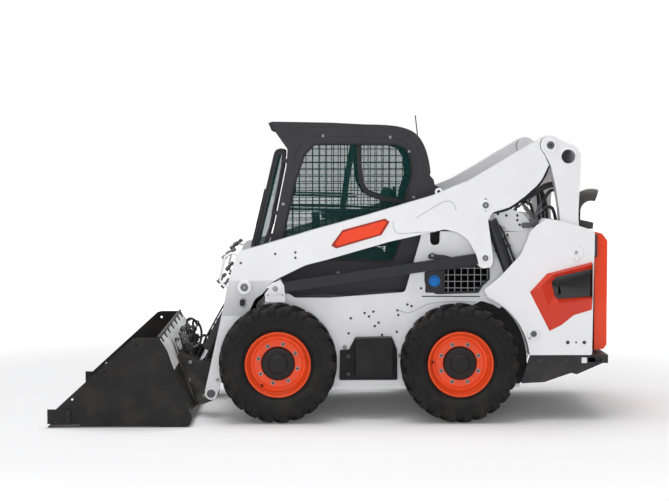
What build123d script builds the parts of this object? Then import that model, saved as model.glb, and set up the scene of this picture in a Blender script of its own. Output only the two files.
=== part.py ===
"""Skid steer loader with a vertical-lift linkage, an enclosed cab and a dirt bucket.

Frame: +X forward over the bucket, +Y to the operator's left, +Z up, millimetres.
The origin is on the ground, in the middle of the machine's length and width.
Outlines are tables of (x, z, corner radius) rows in the side view.
"""

import os
from math import atan2, cos, degrees, pi, radians, sin, tan

from build123d import *

os.makedirs("parts", exist_ok=True)

# ---- driving dimensions -------------------------------------------------------------
TYRE_R = 410.0
TYRE_IN = 610.0  # |y| of the tyre's inner wall
TYRE_OUT = 914.0  # |y| of the tyre's outer wall
AXLE_X = {"front": 370.0, "rear": -891.0}
AXLE_Z = TYRE_R
RIM_R = 226.0  # the bead seat, where the tyre sits on the rim
NOSE_X = 1934.0  # front of the bucket, and with a minus sign the back of the rear bumper
BUCKET_HALF = 1016.0
CAB_HALF = 470.0
CAB_TOP = 2087.0
HULL_HALF = 600.0  # |y| of the chassis side plates
TOWER_OUT = 760.0  # |y| of the rear towers' outer skin
ARM_IN, ARM_OUT = 620.0, 740.0  # |y| of the lift arm's beam
LEG_IN, LEG_OUT = 475.0, 585.0  # |y| of the lift arm's leg, inside the tyres
SLOT_IN, SLOT_OUT = 632.0, 728.0  # |y| of the slot in the arm for cylinder and link
LINK_Y = 680.0  # |y| of the lift cylinders' and control links' middle
TILT_Y = 405.0  # |y| of the tilt cylinders' middle

# pins in the side view, (x, z)
PIN_A = (-1701.0, 1175.0)  # rear link on the tower
PIN_B = (-1520.0, 1919.0)  # lift arm on the rear link
PIN_C = (389.0, 923.0)  # control link on the chassis
PIN_D = (-1072.0, 1136.0)  # control link on the lift arm
PIN_E = (-1408.0, 607.0)  # lift cylinder on the tower
PIN_F = (-1072.0, 1503.0)  # lift cylinder on the lift arm
PIN_H = (845.0, 172.0)  # coupler on the lift arm
PIN_T = (622.0, 916.0)  # tilt cylinder on the lift arm
PIN_P = (943.0, 346.0)  # tilt cylinder on the coupler
PIN_R = 22.0
PIN_GAP = 0.6
CAP_T = 8.0  # how far a pin's cap stands out


# ---- shared helpers -----------------------------------------------------------------
MIN_TURN = 0.008  # radians, half the smallest corner that is rounded


def between(start, end):
    """The distance between two pins."""
    return ((end[0] - start[0]) ** 2 + (end[1] - start[1]) ** 2) ** 0.5


def fitting_radii(rows):
    """The rows' corner radii, each held to what its two edges have room for."""
    radii = []
    for before, here, after in zip([rows[-1]] + rows[:-1], rows, rows[1:] + rows[:1]):
        enter, leave = between(before, here), between(here, after)
        way_in = atan2(here[1] - before[1], here[0] - before[0])
        turn = atan2(after[1] - here[1], after[0] - here[0]) - way_in
        half = abs(atan2(sin(turn), cos(turn))) / 2
        room = 0.45 * min(enter, leave) / max(tan(half), 1e-6)
        radii.append(min(here[2], room) if half > MIN_TURN else 0)
    return radii


def plate(rows, y_low, y_high, mode=Mode.ADD):
    """A flat piece with a side outline of (x, z, corner radius) rows, between two y values."""
    with BuildSketch(Plane.XZ.offset(-y_high)) as face:
        with BuildLine():
            FilletPolyline(*[row[:2] for row in rows], radius=fitting_radii(rows), close=True)
        make_face()
    extrude(to_extrude=face.sketch, amount=y_high - y_low, mode=mode)


def bar(pin, radius, y_low, y_high, mode=Mode.ADD):
    """A round bar along y at a pin's (x, z), or a bore with Mode.SUBTRACT."""
    with Locations(Location((pin[0], (y_low + y_high) / 2, pin[1]), (90, 0, 0))):
        Cylinder(radius, y_high - y_low, mode=mode)


def block(x_low, x_high, y_low, y_high, z_low, z_high, mode=Mode.ADD):
    """A box between six planes."""
    centre = ((x_low + x_high) / 2, (y_low + y_high) / 2, (z_low + z_high) / 2)
    with Locations(centre):
        Box(x_high - x_low, y_high - y_low, z_high - z_low, mode=mode)


def rod(start, end, y, radius, first, last, mode=Mode.ADD):
    """A round rod in the side view, from first to last mm along the line from one pin to another."""
    angle = atan2(end[1] - start[1], end[0] - start[0])
    middle = (first + last) / 2
    place = (start[0] + middle * cos(angle), y, start[1] + middle * sin(angle))
    with Locations(Location(place, (0, 90 - degrees(angle), 0))):
        Cylinder(radius, last - first, mode=mode)


def save(piece, label):
    """Labels a finished sub-part and writes its STEP file."""
    piece.label = label
    export_step(piece, f"parts/{label}.step")


# ---- wheels: lugged tyre and rim, four of each ----------------------------------------
LUGS = 22
GROOVE_R = 387.0
TREAD_IN, TREAD_MID, TREAD_OUT = 624.0, 762.0, 900.0  # |y| of the two staggered rows of lugs
WALL_R = 316.0  # where the straight side wall ends and the bead starts
BEAD_R = 242.0
BEAD_DEEP = 28.0  # how far the bead sits inside the side wall
RIM_SECTION = [
    (0, 640), (0, 874), (50, 872), (66, 866), (70, 848), (95, 846), (112, 838), (115, 812), (165, 812),
    (176, 806), (186, 808), (196, 822), (205, 850), (212, 880), (218, 894), (226, 898), (238, 893),
    (238, 888), (RIM_R, 887), (RIM_R, 638), (238, 637), (238, 628), (214, 628), (206, 700), (196, 770),
    (182, 792), (165, 800), (110, 800), (84, 780), (84, 640),
]


def wheel_plane(axle_x, y):
    """A plane square to the axle at a y value, with its x axis straight down."""
    return Plane(origin=(axle_x, y, AXLE_Z), x_dir=(0, 0, -1), z_dir=(0, 1, 0))


def lug_row(axle_x, y_from, y_to, phase):
    """A ring of lugs between two y values, turned on by phase of one pitch."""
    pitch = 360 / LUGS
    outline = []
    for lug in range(LUGS):
        for radius, share in ((TYRE_R, 0.0), (TYRE_R, 0.46), (GROOVE_R, 0.6), (GROOVE_R, 0.86)):
            angle = radians((lug + share + phase) * pitch)
            outline.append((radius * cos(angle), radius * sin(angle)))
    low, high = sorted((y_from, y_to))
    with BuildSketch(wheel_plane(axle_x, low)) as row:
        Polygon(*outline, align=None)
    extrude(to_extrude=row.sketch, amount=high - low)


def ring(axle_x, y_low, y_high, radius, sides, mode=Mode.ADD):
    """A many-sided prism round the axle; radius is to its corners, or for a bore to its flats."""
    with BuildSketch(wheel_plane(axle_x, y_low)) as outline:
        RegularPolygon(radius, sides, major_radius=mode == Mode.ADD)
    extrude(to_extrude=outline.sketch, amount=y_high - y_low, mode=mode)


for end, axle_x in AXLE_X.items():
    for hand, side in (("left", 1), ("right", -1)):
        with BuildPart() as tyre:
            walls = sorted((side * TYRE_IN, side * TYRE_OUT))
            ring(axle_x, *walls, GROOVE_R, 2 * LUGS)
            for last in (0, -1):
                wall = tyre.faces().sort_by(Axis.Y)[last]
                slope = (GROOVE_R - WALL_R) * cos(pi / (2 * LUGS))
                chamfer(wall.edges(), slope, TREAD_IN - TYRE_IN, reference=wall)
            lug_row(axle_x, side * TREAD_IN, side * TREAD_MID, 0.0)
            lug_row(axle_x, side * TREAD_MID, side * TREAD_OUT, 0.5)
            ring(axle_x, *walls, RIM_R, LUGS, Mode.SUBTRACT)
            ring(axle_x, walls[0], walls[0] + BEAD_DEEP, BEAD_R, LUGS, Mode.SUBTRACT)
            ring(axle_x, walls[1] - BEAD_DEEP, walls[1], BEAD_R, LUGS, Mode.SUBTRACT)
        save(tyre.part, f"tyre_{end}_{hand}")
        with BuildPart() as rim:
            plane = Plane(origin=(axle_x, 0, AXLE_Z), x_dir=(0, 0, 1), z_dir=(1, 0, 0))
            with BuildSketch(plane) as section:
                Polygon(*[(radius, -side * y) for radius, y in RIM_SECTION], align=None)
            revolve(profiles=section.sketch, axis=Axis((axle_x, 0, AXLE_Z), (0, 1, 0)))
        save(rim.part, f"rim_{end}_{hand}")

# ---- chassis: tub, engine bay walls, axle tubes, floor --------------------------------
HULL_T = 15.0
SHEET_T = 12.0
TUB_LOW = 215.0
FLOOR_Z = 800.0
BAY_FRONT, BAY_REAR, BAY_LOW = -708.0, -1846.0, 462.0  # the engine bay's walls and underside
DECK_Z = 1316.0
AXLE_TUBE_R, AXLE_TUBE_HALF = 78.0, 632.0
HULL_SIDE = [
    (560, TUB_LOW, 30), (560, 700, 60), (470, 790, 20), (330, 878, 8), (293, 876, 8), (251, 850, 10),
    (7, 849, 60), (-521, 888, 30), (-626, 1255, 20), (-640, DECK_Z, 0), (BAY_REAR, DECK_Z, 0),
    (BAY_REAR, BAY_LOW, 0), (-1400, BAY_LOW, 0), (-1330, TUB_LOW, 40),
]
INNER_HALF = HULL_HALF - 10
# sheets across the chassis: (rear x, front x, low z, high z)
CROSS_SHEETS = [
    (-1335, 520, TUB_LOW, TUB_LOW + SHEET_T),  # belly
    (540, 540 + SHEET_T, 245, 690),  # front wall
    (BAY_FRONT, 470, FLOOR_Z, FLOOR_Z + SHEET_T),  # floor under the cab
    (BAY_REAR, -1400, BAY_LOW, BAY_LOW + SHEET_T),  # floor of the engine bay
    (BAY_REAR, BAY_REAR + SHEET_T, 1230, DECK_Z),  # header over the tailgate
    (BAY_REAR, -1680, DECK_Z - SHEET_T, DECK_Z),  # deck behind the hood
    (BAY_FRONT - SHEET_T, BAY_FRONT, FLOOR_Z, 1210),  # wall behind the cab
]
SIDE_SLOT = (-731.0, 1252.0)  # centre of the round foot of the slot behind the cab
SIDE_SLOT_R = 34.0
with BuildPart() as main_frame:
    plate(HULL_SIDE, HULL_HALF - HULL_T, HULL_HALF)
    slot_sides = (SIDE_SLOT[0] - SIDE_SLOT_R, SIDE_SLOT[0] + SIDE_SLOT_R)
    block(*slot_sides, INNER_HALF - HULL_T, HULL_HALF + 1, SIDE_SLOT[1], DECK_Z + 1, Mode.SUBTRACT)
    bar(SIDE_SLOT, SIDE_SLOT_R, INNER_HALF - HULL_T, HULL_HALF + 1, Mode.SUBTRACT)
    mirror(about=Plane.XZ)
    for rear, front, low, high in CROSS_SHEETS:
        block(rear, front, -INNER_HALF, INNER_HALF, low, high)
    for axle_x in AXLE_X.values():
        bar((axle_x, AXLE_Z), AXLE_TUBE_R, -AXLE_TUBE_HALF, AXLE_TUBE_HALF)
save(main_frame.part, "main_frame")

ENGINE_BOX = (-1560, -860, -300, 300, 500, 1150)
with BuildPart() as engine_block:
    block(*ENGINE_BOX)
save(engine_block.part, "engine_block")

LUG_SIDE = [
    (320, 828, 0), (320, 870, 0), (329, 947, 10), (352, 983, 8), (364, 983, 4), (404, 957, 10),
    (449, 904, 10), (465, 880, 4), (459, 868, 0), (459, 828, 0),
]
LUG_EARS = ((HULL_HALF, 648), (712, 732))  # |y| of each ear's two sides
LUG_OUT = LUG_EARS[1][1]
LUG_BASE = (324, 459, HULL_HALF, LUG_OUT, 828, 864)
with BuildPart() as lift_lugs:
    # two ears each side hold the front of the control link
    for ear_in, ear_out in LUG_EARS:
        plate(LUG_SIDE, ear_in, ear_out)
    block(*LUG_BASE)
    bar(PIN_C, PIN_R, HULL_HALF, LUG_OUT)
    bar(PIN_C, PIN_R + 10, LUG_OUT, LUG_OUT + CAP_T)
    mirror(about=Plane.XZ)
save(lift_lugs.part, "lift_lugs")

# ---- rear towers: hollow uprights that hold the rear link and the lift cylinder --------
ARCH_R = 500.0
ARCH_WALL = 6.0
TOWER_SKIN = 8.0
REAR_AXLE = (AXLE_X["rear"], AXLE_Z)
TOWER_SIDE = [
    (-1585, 1398, 30), (-1482, 1410, 20), (-1463, 1388, 10), (-1424, 1364, 20), (-1380, 1320, 30),
    (-1361, 1262, 60), (-1315, 1160, 120), (-1172, 1005, 60), (-1061, 915, 20), (-1090, 850, 0),
    (-1300, 600, 0), (-1380, 459, 0), (-1818, 459, 12), (-1831, 1324, 20), (-1712, 1363, 60),
]
TOWER_POCKET = (-1810, -1000, HULL_HALF + TOWER_SKIN, TOWER_OUT - TOWER_SKIN, 470, 1500)
TOWER_CAPS = ((PIN_A, 53), (PIN_E, 48))
with BuildPart() as rear_towers:
    plate(TOWER_SIDE, HULL_HALF, TOWER_OUT)
    bar(REAR_AXLE, ARCH_R - ARCH_WALL, HULL_HALF, TOWER_OUT, Mode.SUBTRACT)
    with BuildPart(mode=Mode.PRIVATE) as pocket:
        block(*TOWER_POCKET)
        bar(REAR_AXLE, ARCH_R, HULL_HALF, TOWER_OUT, Mode.SUBTRACT)
    add(pocket.part, mode=Mode.SUBTRACT)
    for pin, cap_r in TOWER_CAPS:
        bar(pin, PIN_R, HULL_HALF, TOWER_OUT)
        bar(pin, cap_r, TOWER_OUT, TOWER_OUT + CAP_T)
    mirror(about=Plane.XZ)
save(rear_towers.part, "rear_towers")

ORANGE_INLAY = [
    (-1812, 1109, 0), (-1499, 1026, 20), (-1381, 901, 12), (-1523, 628, 20), (-1682, 733, 40),
    (-1814, 774, 0),
]
BLACK_INLAY = [(-1812, 1053, 0), (-1541, 956, 10), (-1563, 845, 10), (-1814, 858, 0)]
INLAY_T, BADGE_T = 5.0, 3.0
with BuildPart() as side_inlays:
    plate(ORANGE_INLAY, TOWER_OUT, TOWER_OUT + INLAY_T)
    mirror(about=Plane.XZ)
save(side_inlays.part, "side_inlays")

with BuildPart() as badge_plates:
    plate(BLACK_INLAY, TOWER_OUT + INLAY_T, TOWER_OUT + INLAY_T + BADGE_T)
    mirror(about=Plane.XZ)
save(badge_plates.part, "badge_plates")

# ---- rear bumper ---------------------------------------------------------------------
SKIRT_IN, SKIRT_OUT = 715.0, 740.0  # |y| of the skirt under each rear corner
BUMPER_TOP = 458.0
BUMPER_SIDE = [
    (-1391, BUMPER_TOP, 0), (-1323, 258, 10), (-1490, 267, 20), (-1676, 331, 10), (-1716, 321, 10),
    (-NOSE_X, 416, 6), (-NOSE_X, BUMPER_TOP, 0),
]
BUMPER_BEAM = (-NOSE_X, -1850, -SKIRT_OUT, SKIRT_OUT, 400, BUMPER_TOP)
BUMPER_SHELF = (-1850, -1401, -SKIRT_OUT, SKIRT_OUT, 442, BUMPER_TOP)
TIE_DOWN = (-1843.0, 422.0)  # the tie-down slot near each rear corner
TIE_LONG, TIE_HIGH = 98.0, 34.0
with BuildPart() as rear_bumper:
    plate(BUMPER_SIDE, SKIRT_IN, SKIRT_OUT)
    mirror(about=Plane.XZ)
    block(*BUMPER_BEAM)
    block(*BUMPER_SHELF)
    for slot_low in (SKIRT_IN - 3, -SKIRT_OUT - 20):
        with BuildSketch(Plane.XZ.offset(-slot_low - 48)):
            with Locations(TIE_DOWN):
                SlotOverall(TIE_LONG, TIE_HIGH)
        extrude(amount=48, mode=Mode.SUBTRACT)
save(rear_bumper.part, "rear_bumper")

# ---- engine doors ----------------------------------------------------------------------
TAIL_X = -1947.0
TAILGATE_SIDE = [
    (-1858, 1310, 0), (-1908, 1300, 20), (TAIL_X, 1250, 30), (TAIL_X, 511, 30), (-1924, 483, 20),
    (-1858, 476, 0),
]
TAILGATE_HALF = 598.0
LOUVRES, LOUVRE_PITCH, LOUVRE_HIGH, LOUVRE_HALF = 5, 48.0, 24.0, 420.0
LOUVRE_LOW = 960.0
TAILGATE_HINGE = (-1858.0, -612.0)  # (x, y) of the upright hinge
KNUCKLE_R, KNUCKLE_HALF = 10.0, 40.0
with BuildPart() as tailgate:
    plate(TAILGATE_SIDE, -TAILGATE_HALF, TAILGATE_HALF)
    for louvre in range(LOUVRES):
        foot = LOUVRE_LOW + LOUVRE_PITCH * louvre
        block(TAIL_X - 1, -1931, -LOUVRE_HALF, LOUVRE_HALF, foot, foot + LOUVRE_HIGH, Mode.SUBTRACT)
    hinge_x, hinge_y = TAILGATE_HINGE
    for height in (620, 1160):
        block(hinge_x - KNUCKLE_R, hinge_x, hinge_y, -590, height - KNUCKLE_HALF, height + KNUCKLE_HALF)
        with Locations((hinge_x, hinge_y, height)):
            Cylinder(KNUCKLE_R, 2 * KNUCKLE_HALF)
save(tailgate.part, "tailgate")

HOOD_FRONT, HOOD_REAR, HOOD_HALF = -712.0, -1672.0, 585.0
HOOD_LOW, HOOD_TOP = 1322.0, 1358.0
HOOD_SLOTS, HOOD_SLOT_PITCH, HOOD_SLOT_LONG, HOOD_SLOT_HALF = 9, 70.0, 30.0, 400.0
HOOD_SLOT_DEEP = 14.0
with BuildPart() as hood:
    block(HOOD_REAR, HOOD_FRONT, -HOOD_HALF, HOOD_HALF, HOOD_LOW, HOOD_TOP)
    for slot in range(HOOD_SLOTS):
        rear = -1560 + HOOD_SLOT_PITCH * slot
        front = rear + HOOD_SLOT_LONG
        cut_foot = HOOD_TOP - HOOD_SLOT_DEEP
        block(rear, front, -HOOD_SLOT_HALF, HOOD_SLOT_HALF, cut_foot, HOOD_TOP + 1, Mode.SUBTRACT)
    fillet(hood.edges().filter_by(Axis.X).group_by(Axis.Z)[-1], 12)
    for side in (1, -1):
        bar((HOOD_FRONT, HOOD_TOP), KNUCKLE_R, side * 440 - 30, side * 440 + 30)
save(hood.part, "hood")

EXHAUST_Y = 350.0
PIPE_R, PIPE_WALL = 44.0, 4.0
PIPE_BASE = (-1750.0, 1322.0)
PIPE_BEND = (-1871.0, 1445.0)  # centre of the bend
PIPE_TURN = 106.7  # degrees
STAND_IN, STAND_HALF = PIPE_R - PIPE_WALL / 2, 100.0  # the two slabs beside the pipe
PIPE_STAND = [(-1868, 1325, 0), (-1872, 1371, 10), (-1690, 1408, 10), (-1690, 1325, 0)]
with BuildPart() as exhaust:
    reach = PIPE_BASE[0] - PIPE_BEND[0]
    foot = (PIPE_BASE[0], EXHAUST_Y, PIPE_BASE[1])
    knee = (PIPE_BASE[0], EXHAUST_Y, PIPE_BEND[1])
    with BuildLine() as pipe_path:
        Line(foot, knee)
        ends = []
        for share in (0.5, 1.0):
            turn = radians(PIPE_TURN * share)
            ends.append((PIPE_BEND[0] + reach * cos(turn), EXHAUST_Y, PIPE_BEND[1] + reach * sin(turn)))
        ThreePointArc(knee, *ends)
    with BuildSketch(Plane(origin=foot, z_dir=(0, 0, 1))):
        Circle(PIPE_R)
        Circle(PIPE_R - PIPE_WALL, mode=Mode.SUBTRACT)
    sweep()
    for inner, outer in ((-STAND_HALF, -STAND_IN), (STAND_IN, STAND_HALF)):
        plate(PIPE_STAND, EXHAUST_Y + inner, EXHAUST_Y + outer)
save(exhaust.part, "exhaust")

# ---- side grilles, steps -----------------------------------------------------------------
GRILLE_SIDE = [
    (-657, 1026, 10), (-682, 1046, 10), (-1037, 1085, 20), (-1116, 1060, 20), (-1116, 978, 10),
    (-1066, 930, 10), (-1048, 900, 8), (-1038, 883, 10), (-742, 873, 30), (-672, 908, 20), (-657, 967, 10),
]
GRILLE_T, GRILLE_BACK = 12.0, 4.0
GRILLE_CELL, GRILLE_GAP = (56.0, 34.0), (16.0, 10.0)  # (x, z) of a recess and of the bar between two
GRILLE_START = (-1076.0, 900.0)
with BuildPart() as side_grilles:
    plate(GRILLE_SIDE, HULL_HALF, HULL_HALF + GRILLE_T)
    for column in range(4):
        for row in range(3):
            rear = GRILLE_START[0] + (GRILLE_CELL[0] + GRILLE_GAP[0]) * column
            low = GRILLE_START[1] + (GRILLE_CELL[1] + GRILLE_GAP[1]) * row
            front, top = rear + GRILLE_CELL[0], low + GRILLE_CELL[1]
            block(rear, front, HULL_HALF + GRILLE_BACK, HULL_HALF + 30, low, top, Mode.SUBTRACT)
    mirror(about=Plane.XZ)
save(side_grilles.part, "side_grilles")

STEP_SIDE = [
    (-64, 481, 8), (-128, 486, 10), (-171, 572, 15), (-427, 577, 15), (-464, 486, 10), (-466, 271, 10),
    (-59, 271, 10),
]
STEP_BOX = [(-170, 572, 12), (-430, 577, 12), (-430, 300, 12), (-170, 300, 12)]
STEP_BASE_OUT, STEP_OUT = 640.0, 720.0  # |y| of the base's and the box's outer faces
with BuildPart() as step_covers:
    plate(STEP_SIDE, HULL_HALF, STEP_BASE_OUT)
    plate(STEP_BOX, STEP_BASE_OUT, STEP_OUT)
    mirror(about=Plane.XZ)
save(step_covers.part, "step_covers")

# ---- cab ---------------------------------------------------------------------------------
HINGE_TOP, HINGE_FOOT = (322.0, 1890.0), (473.0, 1120.0)  # the door's hinge line in the side view
HINGE_Y = 448.0
KNUCKLES = ((20, 60), (395, 435), (560, 600))  # mm down the hinge line
CAB_WALL = 42.0
CAB_SIDE = [
    (428, CAB_TOP, 10), (402, 2028, 10), (306, 1892, 15), (314, 1769, 200), (400, 1348, 300),
    (480, 1030, 10), (360, 955, 20), (289, 850, 10), (-560, 893, 10), (-625, 1092, 30), (-672, 1330, 40),
    (-690, 1400, 20), (-786, 1560, 20), (-792, 1598, 10), (-770, 1623, 10), (-738, 1640, 10),
    (-730, 1678, 10), (-706, 1703, 10), (-690, 1812, 60), (-665, 1886, 60), (-604, 2000, 80),
    (-470, 2056, 80), (5, 2080, 200),
]
CAB_INSIDE = [
    (345, 2045, 20), (275, 1910, 10), (262, 1880, 0), (620, 1880, 0), (620, 1050, 0), (440, 1050, 10),
    (330, 960, 10), (300, 900, 10), (-520, 935, 20), (-590, 1110, 30), (-640, 1330, 30), (-664, 1560, 50),
    (-655, 1700, 60), (-622, 1870, 70), (-560, 1985, 70), (-450, 2016, 40), (5, 2042, 100),
]
WINDOW_SIDE = [
    (111, 1929, 40), (185, 1852, 30), (254, 1649, 200), (319, 1357, 100), (345, 1228, 40), (330, 1130, 30),
    (-440, 1094, 60), (-490, 1241, 60), (-537, 1587, 60), (-577, 1700, 40), (-568, 1830, 60),
    (-526, 1900, 40), (-460, 1927, 30),
]
REAR_VIEW = (330.0, 1700.0, 1880.0)  # the rear window's half width, foot and top
ROOF_VIEW = (-380.0, -20.0, 300.0)  # the roof window's rear, front and half width


def on_hinge(first, last, ahead, y, thick, wide):
    """A slab along the door's hinge line, ahead mm in front of it; with wide 0, a knuckle of radius thick."""
    angle = atan2(HINGE_FOOT[1] - HINGE_TOP[1], HINGE_FOOT[0] - HINGE_TOP[0])
    along = (first + last) / 2
    x = HINGE_TOP[0] + along * cos(angle) - ahead * sin(angle)
    z = HINGE_TOP[1] + along * sin(angle) + ahead * cos(angle)
    with Locations(Location((x, y, z), (0, 90 - degrees(angle), 0))):
        if wide:
            Box(thick, wide, last - first)
        else:
            Cylinder(thick, last - first)


with BuildPart() as cab_shell:
    plate(CAB_SIDE, -CAB_HALF, CAB_HALF)
    plate(CAB_INSIDE, CAB_WALL - CAB_HALF, CAB_HALF - CAB_WALL, Mode.SUBTRACT)
    plate(WINDOW_SIDE, -CAB_HALF - 1, CAB_HALF + 1, Mode.SUBTRACT)
    rear_half, rear_foot, rear_top = REAR_VIEW
    block(-830, -560, -rear_half, rear_half, rear_foot, rear_top, Mode.SUBTRACT)
    roof_rear, roof_front, roof_half = ROOF_VIEW
    block(roof_rear, roof_front, -roof_half, roof_half, 2000, CAB_TOP + 1, Mode.SUBTRACT)
    for first, last in KNUCKLES:
        on_hinge(last + 3, last + 33, 0, HINGE_Y, KNUCKLE_R, 0)
        on_hinge(last + 3, last + 33, -18, HINGE_Y, 36, 18)
save(cab_shell.part, "cab_shell")

GLASS_T = 6.0
SIDE_GLASS_Y = 446.0
with BuildPart() as side_windows:
    plate(WINDOW_SIDE, SIDE_GLASS_Y, SIDE_GLASS_Y + GLASS_T)
    mirror(about=Plane.XZ)
save(side_windows.part, "side_windows")

REAR_PANE = [(-690, 1701, 0), (-651, 1879, 0), (-645, 1879, 0), (-684, 1701, 0)]
ROOF_GLASS_Z = 2054.0
with BuildPart() as rear_and_roof_glass:
    plate(REAR_PANE, -rear_half, rear_half)
    block(roof_rear, roof_front, -roof_half, roof_half, ROOF_GLASS_Z, ROOF_GLASS_Z + GLASS_T)
save(rear_and_roof_glass.part, "rear_and_roof_glass")

SEAT_HALF, SEAT_FOOT_HALF = 240.0, 180.0
CUSHION_SIDE = [(-430, 1060, 0), (60, 1060, 0), (60, 1170, 0), (-430, 1170, 0)]
BACKREST_SIDE = [(-430, 1170, 0), (-300, 1170, 0), (-390, 1640, 0), (-480, 1620, 0)]
SEAT_FOOT_SIDE = [(-380, 936, 0), (0, 936, 0), (0, 1060, 0), (-380, 1060, 0)]
with BuildPart() as seat:
    plate(CUSHION_SIDE, -SEAT_HALF, SEAT_HALF)
    plate(BACKREST_SIDE, -SEAT_HALF, SEAT_HALF)
    plate(SEAT_FOOT_SIDE, -SEAT_FOOT_HALF, SEAT_FOOT_HALF)
save(seat.part, "seat")

POD_BOX = (-330, 150, 262, 400, 1060, 1240)
with BuildPart() as control_pods:
    block(*POD_BOX)
    mirror(about=Plane.XZ)
save(control_pods.part, "control_pods")

STICK_X, STICK_Y = 105.0, 330.0
# (middle z, radius, height) of the shaft and the grip
STICK_PARTS = ((1300, 14, 120), (1385, 26, 70))
with BuildPart() as joysticks:
    for middle_z, radius, height in STICK_PARTS:
        with Locations((STICK_X, STICK_Y, middle_z)):
            Cylinder(radius, height)
    mirror(about=Plane.XZ)
save(joysticks.part, "joysticks")

SEAT_BAR_AXIS = (-300.0, 1420.0)
SEAT_BAR_Y, SEAT_BAR_FRONT, SEAT_BAR_T = 408.0, 50.0, 14.0
with BuildPart() as seat_bar:
    low, high = SEAT_BAR_AXIS[1] - SEAT_BAR_T, SEAT_BAR_AXIS[1] + SEAT_BAR_T
    for side in (1, -1):
        arm_y = side * SEAT_BAR_Y
        block(SEAT_BAR_AXIS[0] - 20, SEAT_BAR_FRONT, arm_y - 12, arm_y + 12, low, high)
        bar(SEAT_BAR_AXIS, 24, arm_y - 14, arm_y + 14)
    block(SEAT_BAR_FRONT - 14, SEAT_BAR_FRONT + 14, -SEAT_BAR_Y - 10, SEAT_BAR_Y + 10, low, high)
save(seat_bar.part, "seat_bar")

# ---- door: a leaning box frame with front and side panes, and its grab bar --------------------
DOOR_TOP, DOOR_FOOT = (387.0, 1890.0), (573.0, 1120.0)  # the outer face in the side view
DOOR_LEAN = atan2(DOOR_FOOT[0] - DOOR_TOP[0], DOOR_TOP[1] - DOOR_FOOT[1])
DOOR_HEIGHT = between(DOOR_TOP, DOOR_FOOT)
DOOR_HALF, DOOR_WALL = 432.0, 14.0
DOOR_SIDE = [
    (*DOOR_TOP, 6), (*DOOR_FOOT, 6), (478, 1120, 4), (414, 1348, 60), (330, 1769, 60), (322, 1890, 4),
]
DOOR_INSIDE = [(357, 1868, 0), (533, 1142, 0), (420, 1142, 0), (260, 1868, 0)]
DOOR_SIDE_VIEW = [
    (370, 1850, 8), (532, 1160, 8), (498, 1160, 4), (437, 1348, 20), (352, 1769, 20), (346, 1850, 4),
]
DOOR_GLASS_Y = 422.0
DOOR_PANE = (2 * DOOR_HALF - 110, DOOR_HEIGHT - 150)  # width and height of the front pane
DOOR_PLANE = Plane(
    origin=((DOOR_TOP[0] + DOOR_FOOT[0]) / 2, 0, (DOOR_TOP[1] + DOOR_FOOT[1]) / 2),
    x_dir=(0, 1, 0),
    z_dir=(cos(DOOR_LEAN), 0, sin(DOOR_LEAN)),
)
with BuildPart() as door_frame:
    plate(DOOR_SIDE, -DOOR_HALF, DOOR_HALF)
    plate(DOOR_INSIDE, DOOR_WALL - DOOR_HALF, DOOR_HALF - DOOR_WALL, Mode.SUBTRACT)
    for view_low in (DOOR_GLASS_Y - 22, -DOOR_HALF - 28):
        plate(DOOR_SIDE_VIEW, view_low, view_low + 60, Mode.SUBTRACT)
    with BuildSketch(DOOR_PLANE):
        RectangleRounded(*DOOR_PANE, 30)
    extrude(amount=-80, mode=Mode.SUBTRACT)
    for first, last in KNUCKLES:
        on_hinge(first, last, 0, HINGE_Y, KNUCKLE_R, 0)
        on_hinge(first, last, 6, HINGE_Y - 9, 8, 18)
save(door_frame.part, "door_frame")

with BuildPart() as door_glass:
    with BuildSketch(DOOR_PLANE.offset(-12)):
        RectangleRounded(*DOOR_PANE, 30)
    extrude(amount=-GLASS_T)
    for pane_low in (DOOR_GLASS_Y, -DOOR_GLASS_Y - GLASS_T):
        plate(DOOR_SIDE_VIEW, pane_low, pane_low + GLASS_T)
save(door_glass.part, "door_glass")

HANDLE_Y, HANDLE_MIDDLE, HANDLE_REACH = -395.0, -60.0, 240.0
HANDLE_POST, HANDLE_GRIP = 16.0, 14.0  # how far the posts stand out, and the grip's thickness
with BuildPart() as door_handle:
    with BuildSketch(DOOR_PLANE):
        for end in (-0.5, 0.5):
            with Locations((HANDLE_Y, HANDLE_MIDDLE + end * HANDLE_REACH)):
                Circle(12)
    extrude(amount=HANDLE_POST)
    with BuildSketch(DOOR_PLANE.offset(HANDLE_POST)):
        with Locations((HANDLE_Y, HANDLE_MIDDLE)):
            RectangleRounded(26, HANDLE_REACH + 50, 12)
    extrude(amount=HANDLE_GRIP)
save(door_handle.part, "door_handle")

# ---- lamps -----------------------------------------------------------------------------------
VISOR_LAMP = [(403.6, 2030.3, 0), (425.4, 2079.8, 0), (436.4, 2075, 4), (414.6, 2025.5, 4)]
VISOR_LAMP_SPAN = (280, 420)
TAIL_LAMP = (-1845, -1832, 630, 730, 1150, 1290)
with BuildPart() as work_lamps:
    plate(VISOR_LAMP, *VISOR_LAMP_SPAN)
    block(*TAIL_LAMP)
    mirror(about=Plane.XZ)
save(work_lamps.part, "work_lamps")

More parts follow.
